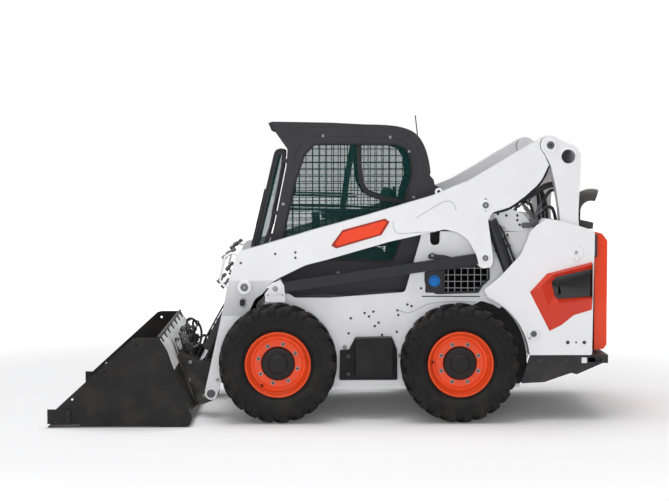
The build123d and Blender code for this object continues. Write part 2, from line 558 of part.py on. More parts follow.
# ---- lift arms ---------------------------------------------------------------------------------
ARM_SIDE = [
    (642, 1181, 30), (484, 1225, 200), (147, 1326, 900), (-242, 1433, 900), (-716, 1573, 100),
    (-866, 1636, 300), (-964, 1675, 300), (-1170, 1796, 900), (-1301, 1876, 900), (-1403, 1935, 300),
    (-1481, 1981, 0), (-1530, 1919, 0), (-1473, 1858, 0), (-1511, 1784, 12), (-1464, 1684, 100),
    (-1425, 1636, 60), (-1303, 1533, 200), (-1235, 1487, 60), (-1121, 1453, 40), (-1089, 1400, 30),
    (-1117, 1204, 400), (-1127, 1110, 60), (-1110, 1072, 20), (-1063, 1064, 20), (-1030, 1072, 20),
    (-1012, 1150, 100), (-956, 1258, 100), (-882, 1314, 80), (-789, 1336, 80), (-682, 1312, 100),
    (-413, 1252, 600), (26, 1126, 900), (180, 1087, 300), (370, 994, 200), (412, 967, 40), (459, 911, 100),
    (478, 883, 30), (530, 850, 80), (660, 560, 200), (765, 290, 80), (803, 150, 30), (845, 128, 20),
    (880, 140, 20), (889, 190, 20), (857, 333, 400), (802, 581, 600), (752, 804, 600), (732, 903, 200),
    (690, 1060, 200), (665, 1140, 60),
]
# front view of the arm: the beam stands outside the cab, the leg steps in between the tyres, (y, z)
ARM_FRONT = [
    (ARM_OUT, 2100), (ARM_OUT, 980), (LEG_OUT, 720), (LEG_OUT, 60), (LEG_IN, 60), (LEG_IN, 720),
    (ARM_IN, 980), (ARM_IN, 2100),
]
ARM_SLOT = [
    (-1300, 980, 0), (-1300, 1560, 60), (-1200, 1640, 60), (-1000, 1640, 60), (-930, 1500, 60),
    (-900, 980, 0),
]
LINK_END_R = 68.0
SEAM_R = 74.0
TONGUE = [(-1400, 1880, 20), (-1520, 1975, 0), (-1576, 1919, 0), (-1520, 1860, 0), (-1440, 1720, 20)]
TONGUE_HALF, TONGUE_R = 28.0, 56.0
PIVOT_IN = 456.0  # |y| where the tilt pivot's boss ends, inside the leg
PEEP = (612.0, 814.0)  # the oval hole in the leg
PEEP_HIGH, PEEP_WIDE = 75.0, 40.0
GUARD = [(640, 1150), (700, 1168), (743, 1138), (778, 976), (750, 941), (715, 925)]  # the coupling guard
GUARD_R, GUARD_Y = 9.0, 660.0
for hand, side in (("left", 1), ("right", -1)):
    with BuildPart() as lift_arm:
        plate(ARM_SIDE, LEG_IN, ARM_OUT)
        with BuildPart(mode=Mode.PRIVATE) as band:
            with BuildSketch(Plane.YZ.offset(-2100)):
                Polygon(*ARM_FRONT, align=None)
            extrude(amount=3200)
        add(band.part, mode=Mode.INTERSECT)
        plate(ARM_SLOT, SLOT_IN, SLOT_OUT, Mode.SUBTRACT)
        bar(PIN_B, SEAM_R, ARM_IN - 5, ARM_OUT + 5, Mode.SUBTRACT)
        plate(TONGUE, LINK_Y - TONGUE_HALF, LINK_Y + TONGUE_HALF)
        bar(PIN_B, TONGUE_R, LINK_Y - TONGUE_HALF, LINK_Y + TONGUE_HALF)
        bar(PIN_B, PIN_R + PIN_GAP, LINK_Y - 40, LINK_Y + 40, Mode.SUBTRACT)
        bar(PIN_H, PIN_R + PIN_GAP, LEG_IN - 5, LEG_OUT + 5, Mode.SUBTRACT)
        bar(PIN_T, 40, PIVOT_IN, 640)
        bar(PIN_T, PIN_R, TILT_Y - 33, PIVOT_IN)
        bar(PIN_T, PIN_R + 12, TILT_Y - 33 - CAP_T, TILT_Y - 33)
        with BuildSketch(Plane.XZ.offset(-ARM_OUT)):
            with Locations(PEEP):
                SlotOverall(PEEP_HIGH, PEEP_WIDE, rotation=90)
        extrude(amount=ARM_OUT - 560, mode=Mode.SUBTRACT)
        with BuildLine() as guard_path:
            FilletPolyline(*[(x, GUARD_Y, z) for x, z in GUARD], radius=24)
        with BuildSketch(Plane(origin=guard_path.line @ 0, z_dir=guard_path.line % 0)):
            Circle(GUARD_R)
        sweep(path=guard_path.line)
        if side < 0:
            add(mirror(lift_arm.part, about=Plane.XZ, mode=Mode.PRIVATE), mode=Mode.REPLACE)
    save(lift_arm.part, f"lift_arm_{hand}")

CROSS_TUBE, CROSS_TUBE_R = (690.0, 480.0), 50.0
with BuildPart() as arm_cross_tube:
    bar(CROSS_TUBE, CROSS_TUBE_R, -LEG_IN, LEG_IN)
save(arm_cross_tube.part, "arm_cross_tube")

# ---- rear links: two box links and the open tube that joins them ---------------------------------
LINK_TUBE, LINK_TUBE_R, LINK_BORE_R = (-1645.0, 1841.0), 60.0, 48.0
LINK_SIDE = [
    (-1510, 1986, 10), (-1539, 1981, 10), (-1588, 1956, 100), (-1647, 1932, 100), (-1681, 1918, 30),
    (-1711, 1893, 20), (-1730, 1858, 20), (-1731, 1800, 100), (-1725, 1636, 400), (-1717, 1406, 400),
    (-1751, 1175, 0), (-1651, 1175, 0), (-1590, 1397, 100), (-1585, 1465, 200), (-1557, 1636, 400),
    (-1523, 1780, 40), (-1483, 1856, 0), (-1520, 1919, 0),
]
LINK_FOOT_R = 50.0
FORK_IN, FORK_OUT, FORK_R = 645.0, 715.0, 104.0  # the gap that the arm's tongue swings in
FORK_MOUTH = [(-1480, 1700, 0), (-1440, 1860, 0), (-1400, 1990, 0), (-1300, 1700, 0)]
with BuildPart() as rear_links:
    plate(LINK_SIDE, ARM_IN, ARM_OUT)
    bar(PIN_B, LINK_END_R, ARM_IN, ARM_OUT)
    bar(PIN_A, LINK_FOOT_R, ARM_IN, ARM_OUT)
    bar(PIN_B, FORK_R, FORK_IN, FORK_OUT, Mode.SUBTRACT)
    plate(FORK_MOUTH, FORK_IN, FORK_OUT, Mode.SUBTRACT)
    bar(PIN_A, PIN_R + PIN_GAP, ARM_IN - 5, ARM_OUT + 5, Mode.SUBTRACT)
    bar(PIN_B, PIN_R, ARM_IN, ARM_OUT)
    bar(PIN_B, LINK_FOOT_R, ARM_OUT, ARM_OUT + CAP_T)
    mirror(about=Plane.XZ)
    bar(LINK_TUBE, LINK_TUBE_R, -ARM_OUT, ARM_OUT)
    bar(LINK_TUBE, LINK_BORE_R, -ARM_OUT - 1, ARM_OUT + 1, Mode.SUBTRACT)
save(rear_links.part, "rear_links")

# ---- control links ----------------------------------------------------------------------------------
BEAM_HIGH, BEAM_HALF = 72.0, 25.0
BEAM_EYES = ((PIN_C, 39), (PIN_D, 44))
with BuildPart() as control_links:
    rise = atan2(PIN_D[1] - PIN_C[1], PIN_D[0] - PIN_C[0])
    middle = ((PIN_C[0] + PIN_D[0]) / 2, (PIN_C[1] + PIN_D[1]) / 2)
    with BuildSketch(Plane.XZ.offset(-LINK_Y - BEAM_HALF)):
        with Locations(Location(middle, degrees(rise) - 180)):
            Rectangle(between(PIN_C, PIN_D), BEAM_HIGH)
        for pin, eye_r in BEAM_EYES:
            with Locations(pin):
                Circle(eye_r)
    extrude(amount=2 * BEAM_HALF)
    bar(PIN_C, PIN_R + PIN_GAP, LINK_Y - 40, LINK_Y + 40, Mode.SUBTRACT)
    mirror(about=Plane.XZ)
save(control_links.part, "control_links")

# ---- cylinders: each barrel has a pinned foot, each rod an eye left open at its far pin ---------------
# (name, foot pin, rod pin, |y|, barrel radius, rod radius, barrel length, rod start, foot radius, eye radius,
#  half width of both eyes)
CYLINDERS = [
    ("lift", PIN_E, PIN_F, LINK_Y, 42.0, 24.0, 800.0, 70.0, 38.0, 38.0, 25.0),
    ("tilt", PIN_T, PIN_P, TILT_Y, 44.0, 20.0, 520.0, 145.0, 36.0, 29.0, 22.0),
]
for name, foot, eye, y, barrel_r, rod_r, barrel_length, rod_start, foot_r, eye_r, half in CYLINDERS:
    length = between(foot, eye)
    with BuildPart() as barrel:
        rod(foot, eye, y, barrel_r, 46, barrel_length)
        rod(foot, eye, y, half - 2, 20, 60)
        bar(foot, foot_r, y - half, y + half)
        bar(foot, PIN_R + PIN_GAP, y - barrel_r, y + barrel_r, Mode.SUBTRACT)
        rod(foot, eye, y, rod_r + 0.3, 56, barrel_length + 1, Mode.SUBTRACT)
        mirror(about=Plane.XZ)
    save(barrel.part, f"{name}_cylinder_barrels")
    with BuildPart() as piston:
        rod(foot, eye, y, rod_r, rod_start, length - eye_r / 2)
        bar(eye, eye_r, y - half, y + half)
        bar(eye, PIN_R, y - half - 3, y + half + 3)
        mirror(about=Plane.XZ)
    save(piston.part, f"{name}_cylinder_rods")

# ---- coupler ---------------------------------------------------------------------------------------
EAR_SIDE = [
    (949, 78, 0), (1087, 433, 0), (1051, 442, 10), (937, 392, 30), (850, 381, 30), (800, 215, 40),
    (797, 140, 30), (850, 100, 30), (910, 77, 20),
]
COUPLER_FACE = [(955.6, 78, 0), (1093.5, 433, 0), (1080, 438.5, 0), (942, 83.5, 0)]
COUPLER_HALF = 550.0
EARS = ((343, 356), (454, 467))  # |y| of each ear's two sides
NOTCH_HALF, NOTCH_FOOT = 30.0, 296.0  # in the face, for the rod's eye with the bucket rolled back
with BuildPart() as coupler:
    plate(COUPLER_FACE, -COUPLER_HALF, COUPLER_HALF)
    for side in (1, -1):
        notch = sorted((side * (TILT_Y - NOTCH_HALF), side * (TILT_Y + NOTCH_HALF)))
        block(1000, 1110, *notch, NOTCH_FOOT, 450, Mode.SUBTRACT)
        for ear in EARS:
            plate(EAR_SIDE, *sorted(side * edge for edge in ear))
        bar(PIN_H, PIN_R, *sorted((side * 455, side * 592)))
        bar(PIN_H, PIN_R + 10, *sorted((side * 590, side * 600)))
        bar(PIN_P, 34, *sorted((side * EARS[1][1], side * (EARS[1][1] + 4))))
save(coupler.part, "coupler")

# ---- bucket ------------------------------------------------------------------------------------------
BUCKET_T = 10.0
SIDE_PLATE = [
    (1918, 0, 0), (1918, 21, 0), (1881, 122, 20), (1357, 601, 10), (1325, 609, 10), (1181, 609, 10),
    (1157, 573, 30), (1121, 516, 40), (1102, 452, 80), (951, 63, 20), (968, 15, 20), (992, 0, 0),
]
BUCKET_INSIDE = [
    (2100, 12, 0), (2100, 900, 0), (1205, 660, 0), (1193, 610, 0), (1166, 568, 20), (1130, 512, 30),
    (1112, 448, 60), (963, 66, 20), (980, 24, 20), (1000, 12, 10),
]
EDGE_HOLES = [(1765, 191), (1544, 378), (1325, 561)]
EDGE_HOLE_R = 9.0
with BuildPart() as bucket:
    plate(SIDE_PLATE, -BUCKET_HALF, BUCKET_HALF)
    plate(BUCKET_INSIDE, BUCKET_T - BUCKET_HALF, BUCKET_HALF - BUCKET_T, Mode.SUBTRACT)
    for spot in EDGE_HOLES:
        bar(spot, EDGE_HOLE_R, -BUCKET_HALF - 1, BUCKET_HALF + 1, Mode.SUBTRACT)
save(bucket.part, "bucket")

CUTTER_T = 14.0
CUTTER_BOX = (1773, NOSE_X, BUCKET_HALF, BUCKET_HALF + CUTTER_T, 27, 125)
with BuildPart() as side_cutters:
    block(*CUTTER_BOX)
    mirror(about=Plane.XZ)
save(side_cutters.part, "side_cutters")

EDGE_SIDE = [(1918, 0, 0), (NOSE_X, 0, 0), (NOSE_X, 5, 0), (1918, 18, 0)]
with BuildPart() as cutting_edge:
    plate(EDGE_SIDE, -BUCKET_HALF, BUCKET_HALF)
save(cutting_edge.part, "cutting_edge")
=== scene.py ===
"""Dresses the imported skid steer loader: finishes for its solids, and the finer pieces they leave out."""
from contextlib import contextmanager
from math import cos, pi, radians, sin, tan

import bmesh
import bpy
from mathutils import Matrix, Vector


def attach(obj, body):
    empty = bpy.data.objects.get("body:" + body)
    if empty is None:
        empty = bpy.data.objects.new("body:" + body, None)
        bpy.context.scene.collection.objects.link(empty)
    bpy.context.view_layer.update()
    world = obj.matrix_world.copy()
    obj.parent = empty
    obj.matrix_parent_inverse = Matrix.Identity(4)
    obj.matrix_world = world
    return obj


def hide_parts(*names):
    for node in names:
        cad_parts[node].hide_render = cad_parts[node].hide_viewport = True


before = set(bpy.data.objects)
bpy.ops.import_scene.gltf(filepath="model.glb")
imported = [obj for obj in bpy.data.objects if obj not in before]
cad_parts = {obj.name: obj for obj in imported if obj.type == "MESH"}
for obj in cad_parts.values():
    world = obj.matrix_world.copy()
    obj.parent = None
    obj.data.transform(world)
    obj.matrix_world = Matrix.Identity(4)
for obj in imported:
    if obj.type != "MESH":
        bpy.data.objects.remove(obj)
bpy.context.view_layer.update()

MM = 0.001
SIDES = ((1, "left"), (-1, "right"))

# the machine's main places, in millimetres
AXLES = {"front": (370.0, 410.0), "rear": (-891.0, 410.0)}
ARM_FACE, HULL_FACE, TOWER_FACE, CAB_FACE = 740.0, 600.0, 760.0, 470.0
PIN_A, PIN_B, PIN_C, PIN_D = (-1701, 1175), (-1520, 1919), (389, 923), (-1072, 1136)
PIN_E, PIN_F, PIN_H = (-1408, 607), (-1072, 1503), (845, 172)
PIN_T, PIN_P = (622, 916), (943, 346)
KNEE = (604, 933)  # the boss at the arm's knee
WHEEL_Y = 762  # |y| of the tyres' middle
LIFT_Y, TILT_Y = 680, 405  # |y| of the lift and tilt cylinders' middle
LEG_FACE = 600  # |y| of the rings on the arms' legs
SCREEN_Y = 437  # |y| of the window screens
EDGE_OUT = 1016.0  # |y| of the bucket's side plates


def at(pin, y):
    """A pin's (x, z) place given a y."""
    return (pin[0], y, pin[1])


def flat(points, y):
    """(x, z) points given one y."""
    return [(x, y, z) for x, z in points]


# ---- node groups that the finishes share
def new_group(name, inputs, outputs):
    """An empty shader group with float, vector or colour sockets."""
    tree = bpy.data.node_groups.new(name, "ShaderNodeTree")
    for label, kind, value in inputs:
        socket = tree.interface.new_socket(label, in_out="INPUT", socket_type=kind)
        if value is not None:
            socket.default_value = value
    for label, kind in outputs:
        tree.interface.new_socket(label, in_out="OUTPUT", socket_type=kind)
    return tree, tree.nodes.new("NodeGroupInput"), tree.nodes.new("NodeGroupOutput")


def add(tree, kind, links=None, **values):
    """A node with its properties set, its sockets filled by name or index, and its inputs linked."""
    node = tree.nodes.new(kind)
    for key, value in values.items():
        setattr(node, key, value)
    for key, source in (links or {}).items():
        if isinstance(source, bpy.types.NodeSocket):
            tree.links.new(source, node.inputs[key])
        else:
            node.inputs[key].default_value = source
    return node


def ramp(tree, source, low, high):
    """A mask from 0 at low to 1 at high."""
    node = add(
        tree, "ShaderNodeMapRange", {0: source, 1: low, 2: high, 3: 0.0, 4: 1.0},
        interpolation_type="SMOOTHSTEP",
    )
    return node.outputs[0]


def maths(tree, operation, first, second):
    """One sum of two values."""
    return add(tree, "ShaderNodeMath", {0: first, 1: second}, operation=operation).outputs[0]


def noise(tree, where, scale, detail, rough=0.5):
    """A noise value at a place."""
    values = {"Vector": where, "Scale": scale, "Detail": detail, "Roughness": rough}
    return add(tree, "ShaderNodeTexNoise", values).outputs[0]


FLOAT, VECTOR = "NodeSocketFloat", "NodeSocketVector"

# edges rubbed bare: a rounded normal against the true one, broken up by noise
WEAR, g_in, g_out = new_group(
    "Rubbed edges", [("Vector", VECTOR, None), ("Radius", FLOAT, 0.004), ("Break", FLOAT, 60.0)],
    [("Mask", FLOAT), ("Normal", VECTOR)],
)
round_n = add(WEAR, "ShaderNodeBevel", {0: g_in.outputs["Radius"]}, samples=6)
true_n = add(WEAR, "ShaderNodeNewGeometry")
turned_by = add(
    WEAR, "ShaderNodeVectorMath", {0: round_n.outputs[0], 1: true_n.outputs["True Normal"]},
    operation="DOT_PRODUCT",
)
edge = ramp(WEAR, maths(WEAR, "SUBTRACT", 1.0, turned_by.outputs["Value"]), 0.02, 0.16)
chips = noise(WEAR, g_in.outputs["Vector"], g_in.outputs["Break"], 6.0)
WEAR.links.new(maths(WEAR, "MULTIPLY", edge, ramp(WEAR, chips, 0.5, 0.62)), g_out.inputs["Mask"])
WEAR.links.new(round_n.outputs[0], g_out.inputs["Normal"])

# dust that settles on what faces up and low on the machine
DUST, g_in, g_out = new_group(
    "Settled dust", [("Vector", VECTOR, None), ("Scale", FLOAT, 7.0)], [("Mask", FLOAT)],
)
up = add(
    DUST, "ShaderNodeSeparateXYZ", {0: add(DUST, "ShaderNodeNewGeometry").outputs["Normal"]},
).outputs[2]
low = add(DUST, "ShaderNodeSeparateXYZ", {0: g_in.outputs["Vector"]}).outputs[2]
lie = maths(
    DUST, "MAXIMUM", ramp(DUST, up, 0.2, 1.0), maths(DUST, "MULTIPLY", ramp(DUST, low, 0.9, 0.0), 0.55),
)
cloud = noise(DUST, g_in.outputs["Vector"], g_in.outputs["Scale"], 8.0)
DUST.links.new(maths(DUST, "MULTIPLY", lie, ramp(DUST, cloud, 0.42, 0.68)), g_out.inputs["Mask"])

# the paint's or casting's own unevenness: a colour mask, a gloss value and a bumped normal
GRAIN, g_in, g_out = new_group(
    "Grain",
    [
        ("Vector", VECTOR, None), ("Scale", FLOAT, 400.0), ("Depth", FLOAT, 0.0004),
        ("Normal", VECTOR, None),
    ],
    [("Mottle", FLOAT), ("Fine", FLOAT), ("Normal", VECTOR)],
)
broad = noise(GRAIN, g_in.outputs["Vector"], 5.0, 5.0)
fine = noise(GRAIN, g_in.outputs["Vector"], g_in.outputs["Scale"], 3.0)
raised = add(
    GRAIN, "ShaderNodeBump",
    {
        "Height": fine, "Distance": g_in.outputs["Depth"], "Strength": 1.0,
        "Normal": g_in.outputs["Normal"],
    },
)
GRAIN.links.new(ramp(GRAIN, broad, 0.3, 0.7), g_out.inputs["Mottle"])
GRAIN.links.new(fine, g_out.inputs["Fine"])
GRAIN.links.new(raised.outputs[0], g_out.inputs["Normal"])


# ---- finishes
def mix(tree, mask, first, second):
    """Colour first where the mask is 0 and second where it is 1."""
    node = add(tree, "ShaderNodeMix", data_type="RGBA")
    for socket, source in ((node.inputs[0], mask), (node.inputs[6], first), (node.inputs[7], second)):
        if isinstance(source, bpy.types.NodeSocket):
            tree.links.new(source, socket)
        elif isinstance(source, float):
            socket.default_value = source
        else:
            socket.default_value = (*source, 1.0)
    return node.outputs[2]


def finish(
    name, colour, rough, shade=0.9, grain=(400.0, 0.0003), wear=0, dust=0, rust=None, metal=0.0, coat=0.0,
    round_by=0.003, inside=None, bare=(0.32, 0.30, 0.28), **shader,
):
    """A procedural finish. shade tints the mottle, wear and dust are amounts, rust is (colour, amount)."""
    made = bpy.data.materials.new(name)
    made.use_nodes = True
    tree = made.node_tree
    body = tree.nodes["Principled BSDF"]
    where = add(tree, "ShaderNodeTexCoord").outputs["Object"]
    edges = add(tree, "ShaderNodeGroup", node_tree=WEAR)
    tree.links.new(where, edges.inputs["Vector"])
    edges.inputs["Radius"].default_value = round_by
    grains = add(tree, "ShaderNodeGroup", node_tree=GRAIN)
    tree.links.new(where, grains.inputs["Vector"])
    tree.links.new(edges.outputs["Normal"], grains.inputs["Normal"])
    grains.inputs["Scale"].default_value, grains.inputs["Depth"].default_value = grain
    tone = mix(tree, grains.outputs["Mottle"], colour, [c * shade for c in colour])
    gloss = maths(tree, "ADD", maths(tree, "MULTIPLY", grains.outputs["Fine"], 0.12), rough - 0.06)
    # inside is (face, colour): what lies further in than |y| = face in metres takes the colour, painted
    # shade of the machine's recesses, partly its dark inner parts
    if inside:
        face, recess_shade = inside
        depth = add(
            tree, "ShaderNodeVectorMath", {0: where, 1: (0, 1, 0)}, operation="DOT_PRODUCT",
        ).outputs["Value"]
        tone = mix(tree, ramp(tree, maths(tree, "ABSOLUTE", depth, 0.0), face, face - 0.002), tone, recess_shade)
    if dust:
        settled = add(tree, "ShaderNodeGroup", node_tree=DUST)
        tree.links.new(where, settled.inputs["Vector"])
        much = maths(tree, "MULTIPLY", settled.outputs["Mask"], dust)
        tone = mix(tree, much, tone, SOIL)
        gloss = maths(tree, "MAXIMUM", gloss, maths(tree, "MULTIPLY", much, 0.9))
    if rust:
        patches = noise(tree, where, 9.0, 9.0, 0.65)
        worn = maths(tree, "MULTIPLY", ramp(tree, patches, 0.52, 0.7), rust[1])
        tone = mix(tree, worn, tone, rust[0])
        gloss = maths(tree, "ADD", gloss, maths(tree, "MULTIPLY", worn, 0.3))
    if wear:
        rubbed = maths(tree, "MULTIPLY", edges.outputs["Mask"], wear)
        tone = mix(tree, rubbed, tone, bare)
    tree.links.new(tone, body.inputs["Base Color"])
    tree.links.new(gloss, body.inputs["Roughness"])
    tree.links.new(grains.outputs["Normal"], body.inputs["Normal"])
    body.inputs["Metallic"].default_value = metal
    body.inputs["Coat Weight"].default_value = coat
    for socket, value in shader.items():
        body.inputs[socket.replace("_", " ")].default_value = value
    return made


SOIL = (0.30, 0.25, 0.19)
SMOOTH = (900.0, 0.00006)  # sprayed paint's grain: scale and depth
FINISHES = {
    "white": finish("White paint", (0.81, 0.81, 0.825), 0.34, 0.97, SMOOTH, 0.25, 0.05, coat=0.25),
    # the chassis inboard of its side face is near-black: painted shade in the recess, partly its dark
    # inner parts
    "hull": finish(
        "Chassis paint", (0.79, 0.79, 0.805), 0.38, 0.96, SMOOTH, 0.3, 0.08, coat=0.2,
        inside=(0.5835, (0.02, 0.02, 0.022)),
    ),
    "orange": finish("Orange paint", (0.86, 0.052, 0.004), 0.36, 0.93, SMOOTH, 0.2, 0.05, coat=0.4),
    "rim": finish("Wheel paint", (0.82, 0.072, 0.008), 0.36, 0.9, (700.0, 0.00008), 0.25, 0.12, coat=0.2),
    "black": finish("Black paint", (0.014, 0.014, 0.0155), 0.42, 1.25, (700.0, 0.0001), 0.35, 0.10),
    "link": finish(
        "Link paint", (0.012, 0.012, 0.0135), 0.34, 1.2, (700.0, 0.00008), 0.3, 0.06, coat=0.2,
    ),
    "cab": finish("Cab paint", (0.026, 0.025, 0.028), 0.46, 1.15, (1100.0, 0.00018), 0.12, 0.10),
    "step": finish(
        "Step plastic", (0.009, 0.009, 0.010), 0.5, 1.2, (1300.0, 0.0003), None, 0.08,
        Specular_IOR_Level=0.3,
    ),
    "steel": finish(
        "Bucket paint", (0.0085, 0.0085, 0.009), 0.3, 1.5, (260.0, 0.0003), 0.7, 0.08,
        ((0.032, 0.016, 0.010), 0.3), round_by=0.004, bare=(0.20, 0.16, 0.13), Specular_IOR_Level=0.3,
    ),
    "edge": finish(
        "Worn steel", (0.12, 0.11, 0.105), 0.42, 0.8, (300.0, 0.0004), 0.9, 0.2,
        ((0.13, 0.06, 0.03), 0.5), metal=0.7, bare=(0.45, 0.43, 0.40),
    ),
    "coupler": finish("Coupler paint", (0.013, 0.013, 0.014), 0.4, 1.3, (500.0, 0.0002), 0.6, 0.3),
    "rubber": finish(
        "Tyre rubber", (0.0075, 0.0075, 0.008), 0.6, 1.4, (900.0, 0.0003), None, 0.07, round_by=0.004,
        Specular_IOR_Level=0.25,
    ),
    "gloss_black": finish(
        "Shield paint", (0.010, 0.010, 0.011), 0.2, 1.3, (700.0, 0.00005), None, 0.05, coat=0.3,
    ),
    "pin": finish("Pin steel", (0.16, 0.16, 0.165), 0.4, 0.8, (600.0, 0.0002), 0.6, 0.2, metal=0.5),
    # a mid grey on white parts along pressed lines and ridges: painted shade of the creases
    "painted_crease_shade": finish("Painted shade of pressed lines", (0.40, 0.40, 0.41), 0.5, 0.9, SMOOTH),
    "deep_orange": finish("Inlay orange", (0.60, 0.030, 0.007), 0.34, 0.93, SMOOTH, None, 0.03, coat=0.1),
    "dark_orange": finish("Plate rim", (0.34, 0.016, 0.005), 0.4, 0.9, SMOOTH, None, 0.05),
    # near-white steel with rubbed edges: a painted reflection of the bright surroundings on the bucket's
    # grazing back
    "painted_reflection": finish("Painted reflection on steel", (0.92, 0.92, 0.92), 0.35, 0.7, (30.0, 0.0003), 0.3),
    # a near-black, barely reflecting sheet set behind openings: painted shade of their insides
    "painted_shade": finish(
        "Painted shade in openings", (0.0015, 0.0015, 0.0015), 0.9, 1.0, (100.0, 0.00002), Specular_IOR_Level=0.05,
    ),
    # a mid grey on the screen wires: painted highlight along their edges
    "wire": finish(
        "Screen wire", (0.30, 0.30, 0.31), 0.4, 0.9, (700.0, 0.00005), None, 0.1, round_by=0.001,
    ),
    "hub": finish(
        "Hub paint", (0.012, 0.012, 0.013), 0.45, 1.2, (700.0, 0.0002), 0.4, 0.06, Specular_IOR_Level=0.3,
    ),
    "chrome": finish("Chrome", (0.72, 0.72, 0.74), 0.16, 0.96, (1500.0, 0.00002), None, 0.03, metal=1.0),
    "zinc": finish(
        "Zinc bolts", (0.50, 0.50, 0.50), 0.36, 0.8, (800.0, 0.0001), None, 0.1, metal=0.9, round_by=0.001,
    ),
    "dark_bolt": finish(
        "Black bolts", (0.035, 0.035, 0.037), 0.4, 1.3, (800.0, 0.0001), 0.4, None, round_by=0.001,
    ),
    "plastic": finish("Moulded plastic", (0.030, 0.030, 0.033), 0.56, 1.2, (1500.0, 0.00025), None, 0.12),
    "vinyl": finish("Black vinyl", (0.028, 0.028, 0.031), 0.5, 1.2, (650.0, 0.0005), None, 0.06),
    "seal": finish("Rubber seal", (0.012, 0.012, 0.013), 0.6, 1.3, (900.0, 0.0002), None, 0.1),
    "hose": finish("Hose rubber", (0.013, 0.013, 0.014), 0.5, 1.3, (1200.0, 0.0003), None, 0.15),
    "engine": finish("Engine casting", (0.07, 0.07, 0.075), 0.55, 1.2, (220.0, 0.001), 0.4, 0.3),
    "pipe": finish("Exhaust paint", (0.060, 0.058, 0.056), 0.5, 1.3, (500.0, 0.0003), 0.3, 0.25),
    "red": finish("Tail lens", (0.45, 0.012, 0.01), 0.2, 0.9, (500.0, 0.0002), None, None, coat=0.6),
    "blue": finish("Cap plastic", (0.012, 0.20, 0.62), 0.4, 0.85, (900.0, 0.0002), None, 0.15),
    "lens": finish("Lamp lens", (0.62, 0.64, 0.66), 0.12, 0.9, (180.0, 0.0006), None, 0.05, coat=0.8),
    "glass": finish(
        "Window glass", (0.001, 0.075, 0.068), 0.06, 0.9, (40.0, 0.00002), None, 0.01, Alpha=0.25,
    ),
}


# ---- mesh helpers
def rounded(rows, steps=5):
    """A closed outline from (x, z, corner radius) rows, with its corners drawn as short curves."""
    points = []
    for here, (x, z, *corner) in enumerate(rows):
        spot = Vector((x, z))
        back = Vector(rows[here - 1][:2]) - spot
        on = Vector(rows[(here + 1) % len(rows)][:2]) - spot
        half = (pi - back.angle(on)) / 2 if back.length and on.length else 0
        reach = min(
            (corner[0] if corner else 0) * tan(min(half, 1.4)), 0.45 * back.length, 0.45 * on.length,
        )
        if reach < 0.5:
            points.append(spot)
            continue
        first, last = spot + back.normalized() * reach, spot + on.normalized() * reach
        for step in range(steps + 1):
            t = step / steps
            points.append(first * (1 - t) ** 2 + spot * 2 * t * (1 - t) + last * t * t)
    return points


def inset(points, by):
    """The outline moved inwards by a small amount."""
    area = sum(a.x * b.y - b.x * a.y for a, b in zip(points, points[1:] + points[:1]))
    turn = 1 if area > 0 else -1
    moved = []
    for here, spot in enumerate(points):
        along = (points[(here + 1) % len(points)] - points[here - 1]).normalized()
        moved.append(spot + Vector((-along.y, along.x)) * turn * by)
    return moved


def skin(bm, rings, closed=False):
    """Faces between rings of vertices. The two ends are capped, or joined where it is closed."""
    for near, far in zip(rings, rings[1:] + (rings[:1] if closed else [])):
        for here in range(len(near)):
            there = (here + 1) % len(near)
            bm.faces.new((near[here], near[there], far[there], far[here]))
    if not closed:
        bm.faces.new(rings[0])
        bm.faces.new(rings[-1])


def prism(bm, rows, y_low, y_high, bevel=1.5, steps=5):
    """A plate with a side outline between two y values, its two faces' edges chamfered."""
    points = rounded(rows, steps)
    small = inset(points, bevel)
    y_low, y_high = min(y_low, y_high), max(y_low, y_high)
    rings = []
    for y, line in ((y_low, small), (y_low + bevel, points), (y_high - bevel, points), (y_high, small)):
        rings.append([bm.verts.new((p.x * MM, y * MM, p.y * MM)) for p in line])
    skin(bm, rings)


def slab(bm, low, high, bevel=2.0, segments=2):
    """A box between two corners with rounded edges."""
    size = [abs(b - a) * MM for a, b in zip(low, high)]
    middle = [(a + b) / 2 * MM for a, b in zip(low, high)]
    place = Matrix.Translation(middle) @ Matrix.Diagonal((*size, 1.0))
    made = bmesh.ops.create_cube(bm, size=1.0, matrix=place)
    edges = list({edge for vert in made["verts"] for edge in vert.link_edges})
    bmesh.ops.bevel(
        bm, geom=edges, offset=min(bevel * MM, 0.45 * min(size)), segments=segments, affect="EDGES",
    )


def turned(bm, rows, centre, axis=(0, 1, 0), around=48):
    """A solid of revolution: (radius, distance along the axis) rows, about an axis through a centre."""
    along = Vector(axis).normalized()
    place = Matrix.Translation(Vector(centre) * MM) @ along.to_track_quat("Z", "Y").to_matrix().to_4x4()
    rings = []
    for radius, reach in rows:
        if radius < 0.01:
            rings.append([bm.verts.new(place @ Vector((0, 0, reach * MM)))])
            continue
        ring = []
        for step in range(around):
            turn = 2 * pi * step / around
            ring.append(
                bm.verts.new(
                    place @ Vector((radius * cos(turn) * MM, radius * sin(turn) * MM, reach * MM))
                )
            )
        rings.append(ring)
    for low, high in zip(rings, rings[1:]):
        for here in range(around):
            there = (here + 1) % around
            corners = [
                low[here % len(low)], low[there % len(low)], high[there % len(high)],
                high[here % len(high)],
            ]
            corners = [v for at, v in enumerate(corners) if v not in corners[:at]]
            if len(corners) > 2:
                bm.faces.new(corners)


def ring_strip(bm, points, section):
    """A closed strip along an outline: its section is (inset, y) rows."""
    rings = []
    for by, y in section:
        rings.append([bm.verts.new((p.x * MM, y * MM, p.y * MM)) for p in inset(points, by)])
    skin(bm, rings, True)


def facets(bm, loops):
    """Flat faces between loops of (x, z) points at one y each, with the last loop filled."""
    rings = [[bm.verts.new((x * MM, y * MM, z * MM)) for x, z in points] for points, y in loops]
    skin(bm, rings)


